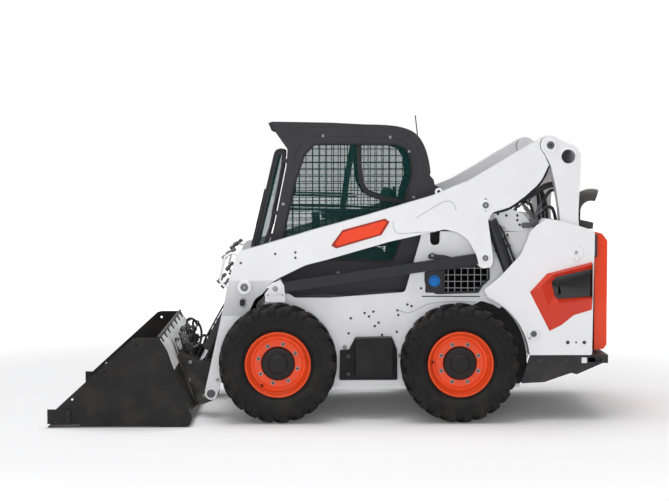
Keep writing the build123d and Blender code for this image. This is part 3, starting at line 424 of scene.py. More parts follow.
def crossings(outline, at, across):
    """Where a line at x or z equal to at crosses an outline, as sorted pairs."""
    hits = []
    for a, b in zip(outline, outline[1:] + outline[:1]):
        u, v = (a.x, b.x) if across == "x" else (a.y, b.y)
        if (u - at) * (v - at) < 0:
            share = (at - u) / (v - u)
            hits.append((a.y + (b.y - a.y) * share) if across == "x" else (a.x + (b.x - a.x) * share))
    hits.sort()
    return list(zip(hits[::2], hits[1::2]))


def grid(outline, pitch, span_x, span_z):
    """The upright and level lines of a screen inside an outline, as (x, z) end pairs."""
    lines = []
    x = span_x[0]
    while x < span_x[1]:
        lines += [((x, low), (x, high)) for low, high in crossings(outline, x, "x")]
        x += pitch
    z = span_z[0]
    while z < span_z[1]:
        lines += [((low, z), (high, z)) for low, high in crossings(outline, z, "z")]
        z += pitch
    return lines


def mirrored(bm):
    """Adds the other side's copy of everything so far."""
    copy = bmesh.ops.duplicate(bm, geom=bm.verts[:] + bm.edges[:] + bm.faces[:])["geom"]
    verts = [item for item in copy if isinstance(item, bmesh.types.BMVert)]
    bmesh.ops.scale(bm, vec=(1, -1, 1), verts=verts)
    bmesh.ops.reverse_faces(bm, faces=[item for item in copy if isinstance(item, bmesh.types.BMFace)])


def as_mesh(name, bm):
    """The geometry as a mesh."""
    mesh = bpy.data.meshes.new(name)
    bm.to_mesh(mesh)
    bm.free()
    return mesh


def loose(name, data):
    """A bare object in the scene."""
    made = bpy.data.objects.new(name, data)
    bpy.context.scene.collection.objects.link(made)
    return made


@contextmanager
def piece(name, look, body="root", smooth=35.0, stands_for=(), both=True):
    """A piece to fill with geometry, on both sides of the machine unless both is off."""
    bm = bmesh.new()
    yield bm
    if both:
        mirrored(bm)
    bmesh.ops.remove_doubles(bm, verts=bm.verts[:], dist=1e-6)
    bmesh.ops.recalc_face_normals(bm, faces=bm.faces[:])
    settle(name, as_mesh(name, bm), look, body, smooth, stands_for)


def settle(name, mesh, look, body, smooth=35.0, stands_for=()):
    """Gives a mesh its finish and its body."""
    if smooth:
        mesh.shade_smooth()
        mesh.set_sharp_from_angle(angle=radians(smooth))
    mesh.materials.clear()
    mesh.materials.append(FINISHES[look])
    made = loose(name, mesh)
    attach(made, body)
    if stands_for:
        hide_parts(*stands_for)
    return made


def baked(made):
    """The plain mesh of an object with its modifiers or bevel, and the object taken away."""
    seen = bpy.context.evaluated_depsgraph_get()
    seen.update()
    mesh = bpy.data.meshes.new_from_object(made.evaluated_get(seen), depsgraph=seen)
    bpy.data.objects.remove(made)
    return mesh


def pipe(name, runs, radius, look, body="root", around=6, both=True):
    """Round pipes or hoses held at both ends: each run's points in mm steer a smooth line."""
    data = bpy.data.curves.new(name, "CURVE")
    data.dimensions = "3D"
    data.bevel_depth = radius * MM
    data.bevel_resolution = around // 2
    data.use_fill_caps = True
    for run in runs:
        for side in (1, -1) if both else (1,):
            line = data.splines.new("NURBS")
            line.points.add(len(run) - 1)
            for point, (x, y, z) in zip(line.points, run):
                point.co = (x * MM, side * y * MM, z * MM, 1.0)
            line.order_u = min(3, len(run))
            line.use_endpoint_u = True
            line.resolution_u = 6
    return settle(name, baked(loose(name + " line", data)), look, body, 60.0)


# ---- repeated parts: three geometry node trees
def node_tree(name, sockets):
    """An empty geometry tree with its named inputs."""
    tree = bpy.data.node_groups.new(name, "GeometryNodeTree")
    tree.interface.new_socket("Geometry", in_out="INPUT", socket_type="NodeSocketGeometry")
    for label, kind in sockets:
        tree.interface.new_socket(label, in_out="INPUT", socket_type=kind)
    tree.interface.new_socket("Geometry", in_out="OUTPUT", socket_type="NodeSocketGeometry")
    return tree, tree.nodes.new("NodeGroupInput"), tree.nodes.new("NodeGroupOutput")


def close_tree(tree, source, sent, out):
    """Makes the copies real and gives them their finish."""
    real = add(tree, "GeometryNodeRealizeInstances", {0: source})
    painted = add(
        tree, "GeometryNodeSetMaterial", {0: real.outputs[0], "Material": sent.outputs["Finish"]},
    )
    tree.links.new(painted.outputs[0], out.inputs[0])


# one copied item on each point, standing along the point's own facing
ON_POINTS, sent, out = node_tree(
    "Items on points", [("Item", "NodeSocketObject"), ("Size", FLOAT), ("Finish", "NodeSocketMaterial")],
)
facing = add(ON_POINTS, "GeometryNodeInputNamedAttribute", {"Name": "facing"}, data_type="FLOAT_VECTOR")
stand = add(ON_POINTS, "FunctionNodeAlignRotationToVector", {"Vector": facing.outputs[0]}, axis="Z")
item = add(ON_POINTS, "GeometryNodeObjectInfo", {0: sent.outputs["Item"]})
size = add(ON_POINTS, "ShaderNodeCombineXYZ", {axis: sent.outputs["Size"] for axis in range(3)})
copies = add(
    ON_POINTS, "GeometryNodeInstanceOnPoints",
    {
        "Points": sent.outputs["Geometry"], "Instance": item.outputs["Geometry"],
        "Rotation": stand.outputs[0], "Scale": size.outputs[0],
    },
)
close_tree(ON_POINTS, copies.outputs[0], sent, out)

# a round bar along every edge
ON_EDGES, sent, out = node_tree(
    "Bars on edges", [("Thick", FLOAT), ("Sides", "NodeSocketInt"), ("Finish", "NodeSocketMaterial")],
)
lines = add(ON_EDGES, "GeometryNodeMeshToCurve", {0: sent.outputs["Geometry"]})
section = add(
    ON_EDGES, "GeometryNodeCurvePrimitiveCircle",
    {"Resolution": sent.outputs["Sides"], "Radius": sent.outputs["Thick"]},
)
swept = add(
    ON_EDGES, "GeometryNodeCurveToMesh",
    {"Curve": lines.outputs[0], "Profile Curve": section.outputs[0], "Fill Caps": True},
)
close_tree(ON_EDGES, swept.outputs[0], sent, out)

# the input repeated round the y axis
ROUND, sent, out = node_tree(
    "Ring of copies", [("Count", "NodeSocketInt"), ("Start", FLOAT), ("Finish", "NodeSocketMaterial")],
)
spots = add(ROUND, "GeometryNodePoints", {"Count": sent.outputs["Count"]})
step_of = maths(ROUND, "DIVIDE", add(ROUND, "GeometryNodeInputIndex").outputs[0], sent.outputs["Count"])
swing = maths(ROUND, "MULTIPLY", maths(ROUND, "ADD", step_of, sent.outputs["Start"]), 2 * pi)
ring = add(
    ROUND, "GeometryNodeInstanceOnPoints",
    {
        "Points": spots.outputs[0], "Instance": sent.outputs["Geometry"],
        "Rotation": add(ROUND, "ShaderNodeCombineXYZ", {1: swing}).outputs[0],
    },
)
close_tree(ROUND, ring.outputs[0], sent, out)


def through(tree, made, **values):
    """Runs an object through a tree with its inputs set, and returns the plain mesh."""
    modifier = made.modifiers.new(tree.name, "NODES")
    modifier.node_group = tree
    for entry in tree.interface.items_tree:
        if entry.in_out == "INPUT" and entry.name in values:
            modifier[entry.identifier] = values[entry.name]
    return baked(made)


def bolt_head(radius, height, washer=1.35, sides=6):
    """A bolt head with its washer, standing on z = 0, in metres."""
    bm = bmesh.new()
    turned(
        bm, [(0, 0), (radius * washer, 0), (radius * washer, height * 0.22), (radius, height * 0.24)],
        (0, 0, 0), (0, 0, 1), 20,
    )
    turned(
        bm,
        [
            (radius, height * 0.2), (radius, height * 0.85), (radius * 0.86, height),
            (radius * 0.4, height), (0, height * 0.94),
        ],
        (0, 0, 0), (0, 0, 1), sides,
    )
    bmesh.ops.recalc_face_normals(bm, faces=bm.faces[:])
    return as_mesh("bolt", bm)


BOLTS = {"hex": bolt_head(9, 8), "cap": bolt_head(9, 5, 1.2, 20), "dome": bolt_head(8, 6, 1.5, 16)}


def bolts(name, spots, look, body="root", kind="hex", size=1.0, both=True):
    """Fasteners at (x, y, z, facing) spots in mm, on both sides of the machine unless both is off."""
    points, ways = [], []
    for x, y, z, way in spots:
        for side in (1, -1) if both else (1,):
            points.append((x * MM, side * y * MM, z * MM))
            ways.append((way[0], side * way[1], way[2]))
    mesh = bpy.data.meshes.new(name)
    mesh.from_pydata(points, [], [])
    held = mesh.attributes.new("facing", "FLOAT_VECTOR", "POINT")
    for slot, way in zip(held.data, ways):
        slot.vector = Vector(way).normalized()
    item = loose("item", BOLTS[kind])
    item.hide_render = True
    done = through(ON_POINTS, loose(name + " spots", mesh), Item=item, Size=size, Finish=FINISHES[look])
    bpy.data.objects.remove(item)
    return settle(name, done, look, body, 30.0)


def wires(name, segments, radius, look, body="root", sides=6):
    """Round bars along straight segments in mm."""
    mesh = bpy.data.meshes.new(name)
    points = [tuple(c * MM for c in end) for segment in segments for end in segment]
    mesh.from_pydata(points, [(2 * n, 2 * n + 1) for n in range(len(segments))], [])
    done = through(
        ON_EDGES, loose(name + " lines", mesh), Thick=radius * MM, Sides=sides, Finish=FINISHES[look],
    )
    return settle(name, done, look, body, 60.0)


OUT = (0, 1, 0)


# ---- finishes of the solids that stay
LOOKS = {
    "main_frame": "hull", "engine_block": "engine", "lift_lugs": "hull", "rear_towers": "white",
    "side_inlays": "orange", "badge_plates": "black", "rear_bumper": "black", "tailgate": "orange",
    "hood": "black", "exhaust": "pipe", "step_covers": "step", "cab_shell": "cab",
    "side_windows": "glass", "rear_and_roof_glass": "glass", "seat_bar": "black", "door_frame": "cab",
    "door_glass": "glass", "door_handle": "black", "lift_arm_left": "white", "lift_arm_right": "white",
    "arm_cross_tube": "white", "rear_links": "white", "control_links": "link",
    "lift_cylinder_barrels": "link", "lift_cylinder_rods": "chrome", "tilt_cylinder_barrels": "link",
    "tilt_cylinder_rods": "chrome", "coupler": "coupler", "bucket": "steel", "side_cutters": "steel",
    "cutting_edge": "edge", "side_grilles": "plastic", "seat": "vinyl", "control_pods": "plastic",
    "joysticks": "plastic", "work_lamps": "lens",
}
for node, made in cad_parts.items():
    look = LOOKS.get(node, "rim" if node.startswith("rim") else "rubber")
    if not made.material_slots:
        made.data.materials.append(None)
    for entry in made.material_slots:
        entry.material = FINISHES[look]

# ---- wheels: carcass with lugs, painted rim, hub and studs
LUGS = 22
CARCASS = [
    (228, -118), (242, -124), (246, -134), (258, -143), (284, -150), (304, -151), (307, -148),
    (311, -151), (330, -149), (352, -144), (372, -136), (384, -124), (388, -100), (390, 0), (388, 100),
    (384, 124), (372, 136), (352, 144), (330, 149), (311, 151), (307, 148), (304, 151), (284, 150),
    (258, 143), (246, 134), (242, 124), (228, 118),
]
RIM_ROWS = [
    (84, -110), (112, 34), (118, 48), (118, 50), (160, 50), (168, 49), (176, 44), (186, 45), (192, 52),
    (198, 62), (203, 88), (207, 92), (209, 116), (213, 130), (217, 134), (222, 134), (226, 131),
    (228, 127), (227, 118), (227, -124), (237, -126), (238, -133), (214, -134), (206, -70), (196, -4),
    (178, 32), (160, 38), (118, 40),
]
HUB_ROWS = [
    (84, -115), (118, 44), (118, 52), (114, 62), (108, 77), (94, 84), (72, 86), (68, 89), (67, 102),
    (63, 106), (52, 110), (46, 112), (22, 112), (20, 109), (0, 109),
]
# along a lug, from the tread's middle to the side wall:
# distance out, top radius, foot radius, turn, half width
LUG_RUN = [
    (3, 409.5, 384, 0.0, 3.9), (30, 410, 384, 0.6, 4.0), (62, 409, 383, 2.6, 4.0),
    (98, 407, 381, 5.0, 4.1), (128, 402, 376, 6.6, 4.3), (141, 391, 366, 7.2, 4.4),
    (149, 372, 352, 7.5, 4.4), (151.5, 344, 336, 7.7, 4.2),
]


def lug_mesh(side):
    """One tyre lug on its side of the tread, at the top of the wheel, in metres."""
    bm = bmesh.new()
    rows = []
    for out, top, foot, turn, half in LUG_RUN:
        wall = max(0.0, out - 128) * 0.62
        row = []
        for share, radius, y in (
            (-1.12, foot, out - wall), (-0.9, top, out), (0.0, top + 0.4, out), (0.9, top, out),
            (1.12, foot, out - wall),
        ):
            angle = radians(turn + half * share)
            row.append(bm.verts.new((radius * sin(angle) * MM, side * y * MM, radius * cos(angle) * MM)))
        rows.append(row)
    for near, far in zip(rows, rows[1:]):
        for here in range(4):
            bm.faces.new((near[here], near[here + 1], far[here + 1], far[here]))
    bm.faces.new(rows[0])
    bm.faces.new(rows[-1])
    bmesh.ops.recalc_face_normals(bm, faces=bm.faces[:])
    sharp = [e for e in bm.edges if len(e.link_faces) == 2 and e.calc_face_angle() > 0.5]
    bmesh.ops.bevel(bm, geom=sharp, offset=2.2 * MM, segments=2, affect="EDGES", clamp_overlap=True)
    return as_mesh("lug", bm)


for end, (axle_x, axle_z) in AXLES.items():
    for side, hand in SIDES:
        body = f"wheel_{end}_{hand}"
        centre = (axle_x, side * WHEEL_Y, axle_z)
        out_way = (0, side, 0)
        with piece(
            f"tyre_{end}_{hand}_dressed", "rubber", body, 40.0, (f"tyre_{end}_{hand}",), both=False,
        ) as bm:
            for row_side, start in ((1, 0.0), (-1, 0.5 / LUGS)):
                done = through(
                    ROUND, loose("lug", lug_mesh(row_side)), Count=LUGS, Start=start,
                    Finish=FINISHES["rubber"],
                )
                done.transform(Matrix.Translation(Vector(centre) * MM))
                bm.from_mesh(done)
            turned(bm, CARCASS, centre, out_way, 88)
        with piece(
            f"rim_{end}_{hand}_dressed", "rim", body, 30.0, (f"rim_{end}_{hand}",), both=False,
        ) as bm:
            turned(bm, RIM_ROWS, centre, out_way, 88)
        with piece(f"hub_{end}_{hand}", "hub", body, 30.0, both=False) as bm:
            turned(bm, HUB_ROWS, centre, out_way, 64)
        studs = []
        for stud in range(8):
            angle = 2 * pi * stud / 8 + radians(14.3 if end == "front" else 22.5)
            spot = (axle_x + 139 * cos(angle), side * 812, axle_z + 139 * sin(angle), out_way)
            studs.append(spot)
        bolts(f"stud_washers_{end}_{hand}", studs, "zinc", body, "cap", 1.35, both=False)
        bolts(f"studs_{end}_{hand}", studs, "dark_bolt", body, "hex", 1.0, both=False)
        angle = radians(306 if end == "front" else 2)
        spot = (axle_x + 188 * cos(angle), side * 806, axle_z + 188 * sin(angle))
        with piece(f"valve_{end}_{hand}", "hub", body, both=False) as bm:
            turned(
                bm, [(9, -2), (8, 6), (5, 10), (4.5, 34), (5.5, 36), (5.5, 48), (0, 49)], spot, out_way,
                16,
            )

# ---- lift arms: bare plates, bosses, slots and a hole in painted shade, ridges in painted shade, and rings
PLATE = [(1, 1224, 6), (-35, 1204, 6), (-349, 1296, 6), (-405, 1389, 6), (-373, 1411, 6), (-77, 1331, 6)]
PLATE_FIELD = [
    (-24, 1230, 4), (-45, 1220, 4), (-336, 1304, 4), (-386, 1386, 4), (-369, 1398, 4), (-82, 1318, 4),
]
with piece("arm_plate_rims", "dark_orange", "lift_arms") as bm:
    prism(bm, PLATE, ARM_FACE, ARM_FACE + 5, 2.5)
with piece("arm_plate_fields", "orange", "lift_arms") as bm:
    prism(bm, PLATE_FIELD, ARM_FACE + 2, ARM_FACE + 6.5, 2)

with piece("arm_bosses", "white", "lift_arms") as bm:
    for (x, z), radius in ((PIN_F, 39), (PIN_D, 33), (KNEE, 47)):
        turned(
            bm, [(radius + 3, -1), (radius, 4), (radius - 6, 6), (radius * 0.62, 6), (radius * 0.6, 1)],
            (x, ARM_FACE, z), OUT, 40,
        )
    turned(bm, [(30, -1), (28, 3), (12, 3)], at(PIN_F, ARM_FACE), OUT, 32)
with piece("arm_pin_ends", "pin", "lift_arms") as bm:
    for (x, z), radius in ((PIN_F, 22), (PIN_D, 20), (KNEE, 23)):
        turned(
            bm, [(radius, 0), (radius, 3.5), (radius - 3, 5), (6, 5), (4, 3), (0, 3)], (x, ARM_FACE, z),
            OUT, 32,
        )
# dark fills in two slots by the F pin and in the oval hole by the knee: painted shade of their insides
with piece("arm_slots", "seal", "lift_arms") as bm:
    for z in (1464, 1546):
        slab(bm, (PIN_F[0] - 8, ARM_FACE - 1, z - 4), (PIN_F[0] + 8, ARM_FACE + 2, z + 4), 1)
    prism(
        bm, [(598, 804, 12), (598, 848, 12), (636, 848, 12), (636, 804, 12)], ARM_FACE - 2, ARM_FACE + 1,
        0.5,
    )
with piece("leg_pin_rings", "white", "lift_arms") as bm:
    turned(bm, [(44, -1), (44, 4), (41, 6), (30, 6), (29, 0)], at(PIN_H, LEG_FACE), OUT, 40)
with piece("leg_pin_ends", "pin", "lift_arms") as bm:
    turned(bm, [(27, -1), (27, 6), (24, 8), (12, 8), (11, 5), (0, 5)], at(PIN_H, LEG_FACE), OUT, 32)

RIDGES = [
    [(-592, 1414), (-609, 1429), (-740, 1507), (-790, 1535), (-850, 1528), (-867, 1468)],
    [(-427, 1394), (-431, 1345), (-452, 1310), (-491, 1304), (-616, 1318), (-721, 1318)],
]
# the ridges are raised lines in grey: painted shade along the arms' pressings
pipe("arm_ridges", [flat(run, ARM_FACE - 0.5) for run in RIDGES], 2.2, "painted_crease_shade", "lift_arms")
with piece("arm_lifting_rings", "white", "lift_arms") as bm:
    turned(
        bm, [(24, -7), (27, -4), (27, 4), (24, 7), (15, 7), (12, 4), (12, -4), (15, -7), (24, -7)],
        (-748, 712, 1596), OUT, 36,
    )

# ---- rear towers: faceted inlays, shields, pivots, inner panels
# each row: outer edge, ridge and shield's edge of the inlay, as (x, z)
INLAY = [
    ((-1812, 1109), (-1812, 1094), (-1812, 1064)), ((-1499, 1028), (-1535, 1022), (-1563, 1010)),
    ((-1381, 899), (-1455, 941), (-1527, 968)), ((-1520, 628), (-1503, 806), (-1549, 872)),
    ((-1605, 671), (-1540, 812), (-1562, 858)), ((-1686, 737), (-1577, 820), (-1577, 850)),
    ((-1812, 776), (-1812, 853), (-1812, 866)),
]
edge_of, ridge_of, shield_of = ([row[n] for row in INLAY] for n in range(3))
with piece("inlays", "deep_orange", "root", 8.0, ("side_inlays",)) as bm:
    rises = ((edge_of, 0), (edge_of, 3), (ridge_of, 36), (shield_of, 8))
    facets(bm, [(line, TOWER_FACE + rise) for line, rise in rises])
with piece("shields", "gloss_black", "root", 30.0, ("badge_plates",)) as bm:
    shield = [Vector(point) for point in shield_of]
    rises = ((2, 5), (3, 11), (22, 19), (50, 22))
    facets(bm, [([tuple(p) for p in inset(shield, by)], TOWER_FACE + rise) for by, rise in rises])

with piece("pivot_caps", "white") as bm:
    turned(bm, [(53, 6), (50, 7), (46, 11), (24, 12), (23, 9), (0, 9)], at(PIN_A, TOWER_FACE), OUT, 48)
    turned(bm, [(46, 7), (42, 11), (25, 12), (24, 8), (0, 8)], at(PIN_E, TOWER_FACE), OUT, 48)
    slab(
        bm, (PIN_A[0] - 12, TOWER_FACE + 8, PIN_A[1] - 62),
        (PIN_A[0] + 8, TOWER_FACE + 13, PIN_A[1] - 30), 3,
    )
with piece("lift_pin_ends", "pin") as bm:
    turned(bm, [(20, 6), (20, 12), (17, 14), (10, 14), (9, 10), (0, 10)], at(PIN_E, TOWER_FACE), OUT, 32)

with piece("tower_inner_panels", "white") as bm:
    prism(
        bm,
        [
            (-1096, 1300, 0), (-1100, 1420, 30), (-1130, 1462, 30), (-1190, 1476, 40), (-1262, 1474, 60),
            (-1356, 1438, 40), (-1400, 1380, 30), (-1440, 1318, 0),
        ],
        588, 600, 3,
    )

# ---- valves and hoses between the tower and the link
# each a tube between two (x, z) ends, with its radius and |y|
FITTINGS = [
    ((-1339, 1512), (-1372, 1482), 11, 612), ((-1372, 1482), (-1412, 1416), 13, 612),
    ((-1412, 1416), (-1426, 1374), 15, 612), ((-1484, 1520), (-1452, 1462), 10, 606),
    ((-1452, 1462), (-1426, 1384), 12, 606), ((-1490, 1470), (-1440, 1430), 9, 618),
    ((-1352, 1486), (-1388, 1446), 9, 620), ((-1404, 1560), (-1380, 1500), 9, 600),
]
with piece("valve_fittings", "pin", "root", 30.0) as bm:
    for (x1, z1), (x2, z2), radius, y in FITTINGS:
        along = Vector((x2 - x1, 0, z2 - z1))
        long = along.length
        sections = [
            (0, 0), (radius, 0), (radius, long * 0.3), (radius * 1.45, long * 0.31),
            (radius * 1.45, long * 0.52), (radius * 0.9, long * 0.53), (radius * 0.9, long * 0.8),
            (radius * 1.3, long * 0.81), (radius * 1.3, long), (0, long),
        ]
        turned(bm, sections, (x1, y, z1), along, 6)
    turned(
        bm, [(0, -30), (30, -30), (32, -26), (32, 8), (28, 12), (12, 13), (11, 20), (0, 20)],
        (-1426, 624, 1372), OUT, 24,
    )
    slab(bm, (-1400, 600, 1340), (-1340, 640, 1378), 4)
HOSE_RUNS = [
    [
        (-1404, 600, 1556), (-1438, 602, 1586), (-1500, 600, 1620), (-1560, 596, 1640),
        (-1630, 590, 1600), (-1655, 585, 1480), (-1655, 582, 1320),
    ],
    [
        (-1484, 606, 1516), (-1505, 612, 1560), (-1545, 612, 1612), (-1600, 604, 1600),
        (-1625, 600, 1500), (-1625, 596, 1320),
    ],
    [
        (-1340, 612, 1510), (-1380, 600, 1560), (-1450, 590, 1605), (-1520, 584, 1655),
        (-1600, 575, 1650), (-1680, 570, 1500), (-1685, 570, 1322),
    ],
    [(-1490, 618, 1470), (-1530, 618, 1500), (-1572, 612, 1460), (-1590, 604, 1322)],
]
pipe("valve_hoses", HOSE_RUNS, 12, "hose")
ARM_HOSE = [
    (-1090, 1452), (-1140, 1444), (-1240, 1470), (-1325, 1524), (-1405, 1592), (-1474, 1664),
    (-1512, 1736), (-1528, 1800),
]
pipe("arm_underside_hoses", [flat(ARM_HOSE, y) for y in (632, 650)], 8, "hose", "lift_arms")

# ---- lift cylinders: glands, tubes, clamps
lift_way = (Vector(at(PIN_F, 0)) - Vector(at(PIN_E, 0))).normalized()


def beside(along, away, y):
    """A place beside the lift cylinder: mm from its foot, mm to the rear, and y."""
    x = PIN_E[0] + lift_way.x * along - lift_way.z * away
    z = PIN_E[1] + lift_way.z * along + lift_way.x * away
    return (x, y, z)


with piece("lift_cylinder_glands", "black", "lift_barrels") as bm:
    turned(
        bm, [(24.6, 794), (45, 794), (46, 798), (46, 836), (42, 842), (24.6, 842)], at(PIN_E, LIFT_Y),
        lift_way, 32,
    )
    for along in (130, 380, 620):
        turned(
            bm, [(42.4, along), (45, along), (45, along + 22), (42.4, along + 22)], at(PIN_E, LIFT_Y),
            lift_way, 32,
        )
        clamp = beside(along + 11, 56, LIFT_Y)
        turned(bm, [(0, -24), (15, -24), (15, 24), (0, 24)], clamp, OUT, 12)
pipe(
    "lift_cylinder_tubes",
    [
        [
            beside(95, 42, y), beside(110, 60, y), beside(400, 60, y), beside(last - 20, 60, y),
            beside(last, 44, y),
        ]
        for y, last in ((668, 790), (692, 700))
    ],
    7.5, "hose", "lift_barrels",
)
bolts(
    "lift_cylinder_fittings",
    [
        (*beside(along, 66, 690), (-lift_way.z, 0.4, lift_way.x))
        for along in (150, 250, 330, 450, 560, 690, 760)
    ],
    "zinc", "lift_barrels", "hex", 1.1,
)

# ---- rear links: pin ends and tube mouth
with piece("link_bosses", "white", "rear_links") as bm:
    turned(bm, [(48, 7), (45, 10), (27, 11), (26, 8), (0, 8)], at(PIN_B, ARM_FACE), OUT, 40)
    turned(bm, [(62, -1), (62, 4), (59, 6), (49, 6), (48, 2), (48, -1)], (-1645, ARM_FACE, 1841), OUT, 48)
with piece("link_pin_ends", "pin", "rear_links") as bm:
    turned(bm, [(23, 6), (23, 13), (19, 15), (11, 15), (10, 11), (0, 11)], at(PIN_B, ARM_FACE), OUT, 32)

# ---- side grilles: frame, screen and filler cap
GRILLE = [
    (-657, 1026, 10), (-682, 1046, 10), (-1037, 1085, 20), (-1116, 1060, 20), (-1116, 978, 10),
    (-1066, 930, 10), (-1048, 900, 8), (-1038, 883, 10), (-742, 873, 30), (-672, 908, 20), (-657, 967, 10),
]
grille = rounded(GRILLE)
with piece("grille_frames", "plastic", "root", 35.0, ("side_grilles",)) as bm:
    ring_strip(bm, grille, ((0, 601), (0, 614), (3, 617), (13, 617), (16, 614), (16, 601)))
    slab(bm, (-802, 601, 880), (-788, 615, 1052), 3)
    slab(bm, (-800, 601, 884), (-664, 606, 1040), 3)
# a near-black plate behind the screen: painted shade of the grille's inside
with piece("grille_depths", "painted_shade") as bm:
    prism(bm, GRILLE, 600, 602, 0.6)
grille_lines = grid(inset(grille, 14), 46.0, (-1100, -806), (918, 1080))
# the grille's wires are grey: painted highlight
wires(
    "grille_wires",
    [
        ((min(x1, -802), side * 612, z1), (min(x2, -802), side * 612, z2))
        for (x1, z1), (x2, z2) in grille_lines if min(x1, x2) < -810
        for side in (1, -1)
    ],
    3.2, "wire",
)
with piece("filler_caps", "blue") as bm:
    cap_rows = [(0, 22), (26, 22), (30, 19), (32, 14), (33, 2), (40, 2), (41, 0)]
    turned(bm, cap_rows, (-728, 606, 966), OUT, 40)
    for rib in range(4):
        turn = pi * rib / 4
        reach = Vector((cos(turn), 0, sin(turn))) * 27
        turned(bm, [(0, -27), (3, -27), (3, 27), (0, 27)], (-728, 628, 966), reach, 8)

# ---- chassis side: pressed line with painted shade, and a painted shadow line under the grille
HULL_BOLTS = [
    (-140, 703), (-237, 740), (-298, 750), (-268, 716), (-336, 672), (-309, 648), (-124, 597),
    (-360, 586), (-464, 607), (-468, 759), (-474, 726), (-568, 789), (-634, 914), (-538, 800),
]
PRESSING = [(-470, 762), (-486, 753), (-546, 738), (-605, 763), (-684, 807), (-813, 822), (-1020, 817)]
# the pressed line is a raised line in grey: painted shade along the crease
pipe("chassis_pressings", [flat(PRESSING, HULL_FACE)], 2.4, "painted_crease_shade")
# a thin dark bar along the hull under the grille: painted shadow line
wires(
    "chassis_ledges", [((-640, side * 602, 858), (-1050, side * 602, 856)) for side in (1, -1)], 4, "seal",
)

# ---- wheel arches: a dark plate beside the rear wheels, partly the towers' dark return flange, partly painted shade
def arc(centre, radius, first, last, count):
    """Points on a circle in the side view, from one angle to another in degrees."""
    turns = [radians(first + (last - first) * step / (count - 1)) for step in range(count)]
    return [(centre[0] + radius * cos(turn), centre[1] + radius * sin(turn)) for turn in turns]


REAR_AXLE = AXLES["rear"]
with piece("arch_liners", "step") as bm:
    arch_shade_outline = [(-970, 770, 60), (-1000, 796, 30), (-1058, 826, 30), (-1140, 800, 30), (-1187, 772, 0)]
    arch_shade_outline += [(x, z, 0) for x, z in arc(REAR_AXLE, 489, 130, 180, 16)]
    arch_shade_outline += [(-1395, 300, 0), (-1330, 240, 0), (-1180, 232, 0)]
    arch_shade_outline += [(x, z, 0) for x, z in arc(REAR_AXLE, 300, 205, 105, 16)]
    prism(bm, arch_shade_outline, HULL_FACE + 0.5, HULL_FACE + 6, 1.5)

# ---- cab: seals, screens, roof crease, aerial
WINDOW = [
    (111, 1929, 40), (185, 1852, 30), (254, 1649, 200), (319, 1357, 100), (345, 1228, 40),
    (330, 1130, 30), (-440, 1094, 60), (-490, 1241, 60), (-537, 1587, 60), (-577, 1700, 40),
    (-568, 1830, 60), (-526, 1900, 40), (-460, 1927, 30),
]
window = rounded(WINDOW)
screen = [
    ((x1, side * SCREEN_Y, z1), (x2, side * SCREEN_Y, z2))
    for (x1, z1), (x2, z2) in grid(window, 49.0, (-560, 340), (1110, 1930))
    for side in (1, -1)
]
wires("window_screens", screen, 3.0, "seal")
with piece("window_seals", "seal") as bm:
    ring_strip(bm, window, ((-10, 448), (-10, 471), (-7, 473), (3, 473), (6, 471), (6, 448)))
CREASE = [(252, 2050), (-65, 2063), (-468, 2041), (-545, 2007), (-605, 1922), (-657, 1793), (-701, 1690)]
pipe("cab_roof_crease", [flat(CREASE, 470)], 3, "cab")
pipe("aerial", [[(-609, 300, 2135), (-626, 300, 1987)]], 4, "plastic", both=False)

# raised rim of the side opening, and the frames of the sliding panes
pipe(
    "cab_window_rims",
    [
        flat(
            (
                (262, 1790), (244, 1887), (175, 1964), (124, 1990), (-140, 1987), (-421, 1980),
                (-528, 1956), (-597, 1862), (-606, 1725), (-560, 1650), (-549, 1560), (-520, 1440),
            ),
            471,
        )
    ],
    4, "cab",
)
PANE_BAND = [
    (-201, 1945), (-201, 1860), (-203, 1784), (-217, 1658), (-263, 1578), (-366, 1543), (-545, 1515),
]
PANE_BAR = [(-172, 1945), (-169, 1920), (-126, 1692), (-98, 1475), (-80, 1200)]


def strip(bm, points, y, thick, half):
    """A flat bar along (x, z) points, half wide in the side view, at one side only."""
    rings = []
    for here, (x, z) in enumerate(points):
        on = Vector(points[min(len(points) - 1, here + 1)]) - Vector(points[max(0, here - 1)])
        across = Vector((on.y, -on.x)).normalized() * half
        corners = [(-1, 0), (1, 0), (1, 1), (-1, 1)]
        spots = [(x + across.x * a, y + thick * b, z + across.y * a) for a, b in corners]
        rings.append([bm.verts.new(Vector(spot) * MM) for spot in spots])
    skin(bm, rings)


with piece("pane_frames", "seal", "root", 20.0) as bm:
    strip(bm, PANE_BAND, 454, 8, 17)
    strip(bm, [(-170, 1930), (320, 1930)], 454, 6, 6)
with piece("cab_inside_rails", "seal", "root", 20.0) as bm:
    strip(bm, PANE_BAR, 418, 14, 11)
    strip(bm, [(330, 1468), (-92, 1463), (-332, 1452), (-560, 1440)], 418, 12, 8)
    strip(bm, [(275, 1567), (-183, 1555)], 420, 10, 6)
pipe(
    "cab_roof_mouldings",
    [
        flat(
            (
                (-150, 2060), (-319, 2061), (-468, 2050), (-566, 2022), (-622, 1978), (-668, 1894),
                (-696, 1784), (-702, 1720),
            ),
            462,
        )
    ],
    8, "cab",
)

# ---- door: hoop tubes, seals, wiper
DOOR_LEAN = radians(13.58)


def on_door(across, up, ahead):
    """A place on the door: mm across, up along its lean from its middle, and ahead of its face."""
    x = 480.0 - up * sin(DOOR_LEAN) + ahead * cos(DOOR_LEAN)
    z = 1505.0 + up * cos(DOOR_LEAN) + ahead * sin(DOOR_LEAN)
    return (x, across, z)


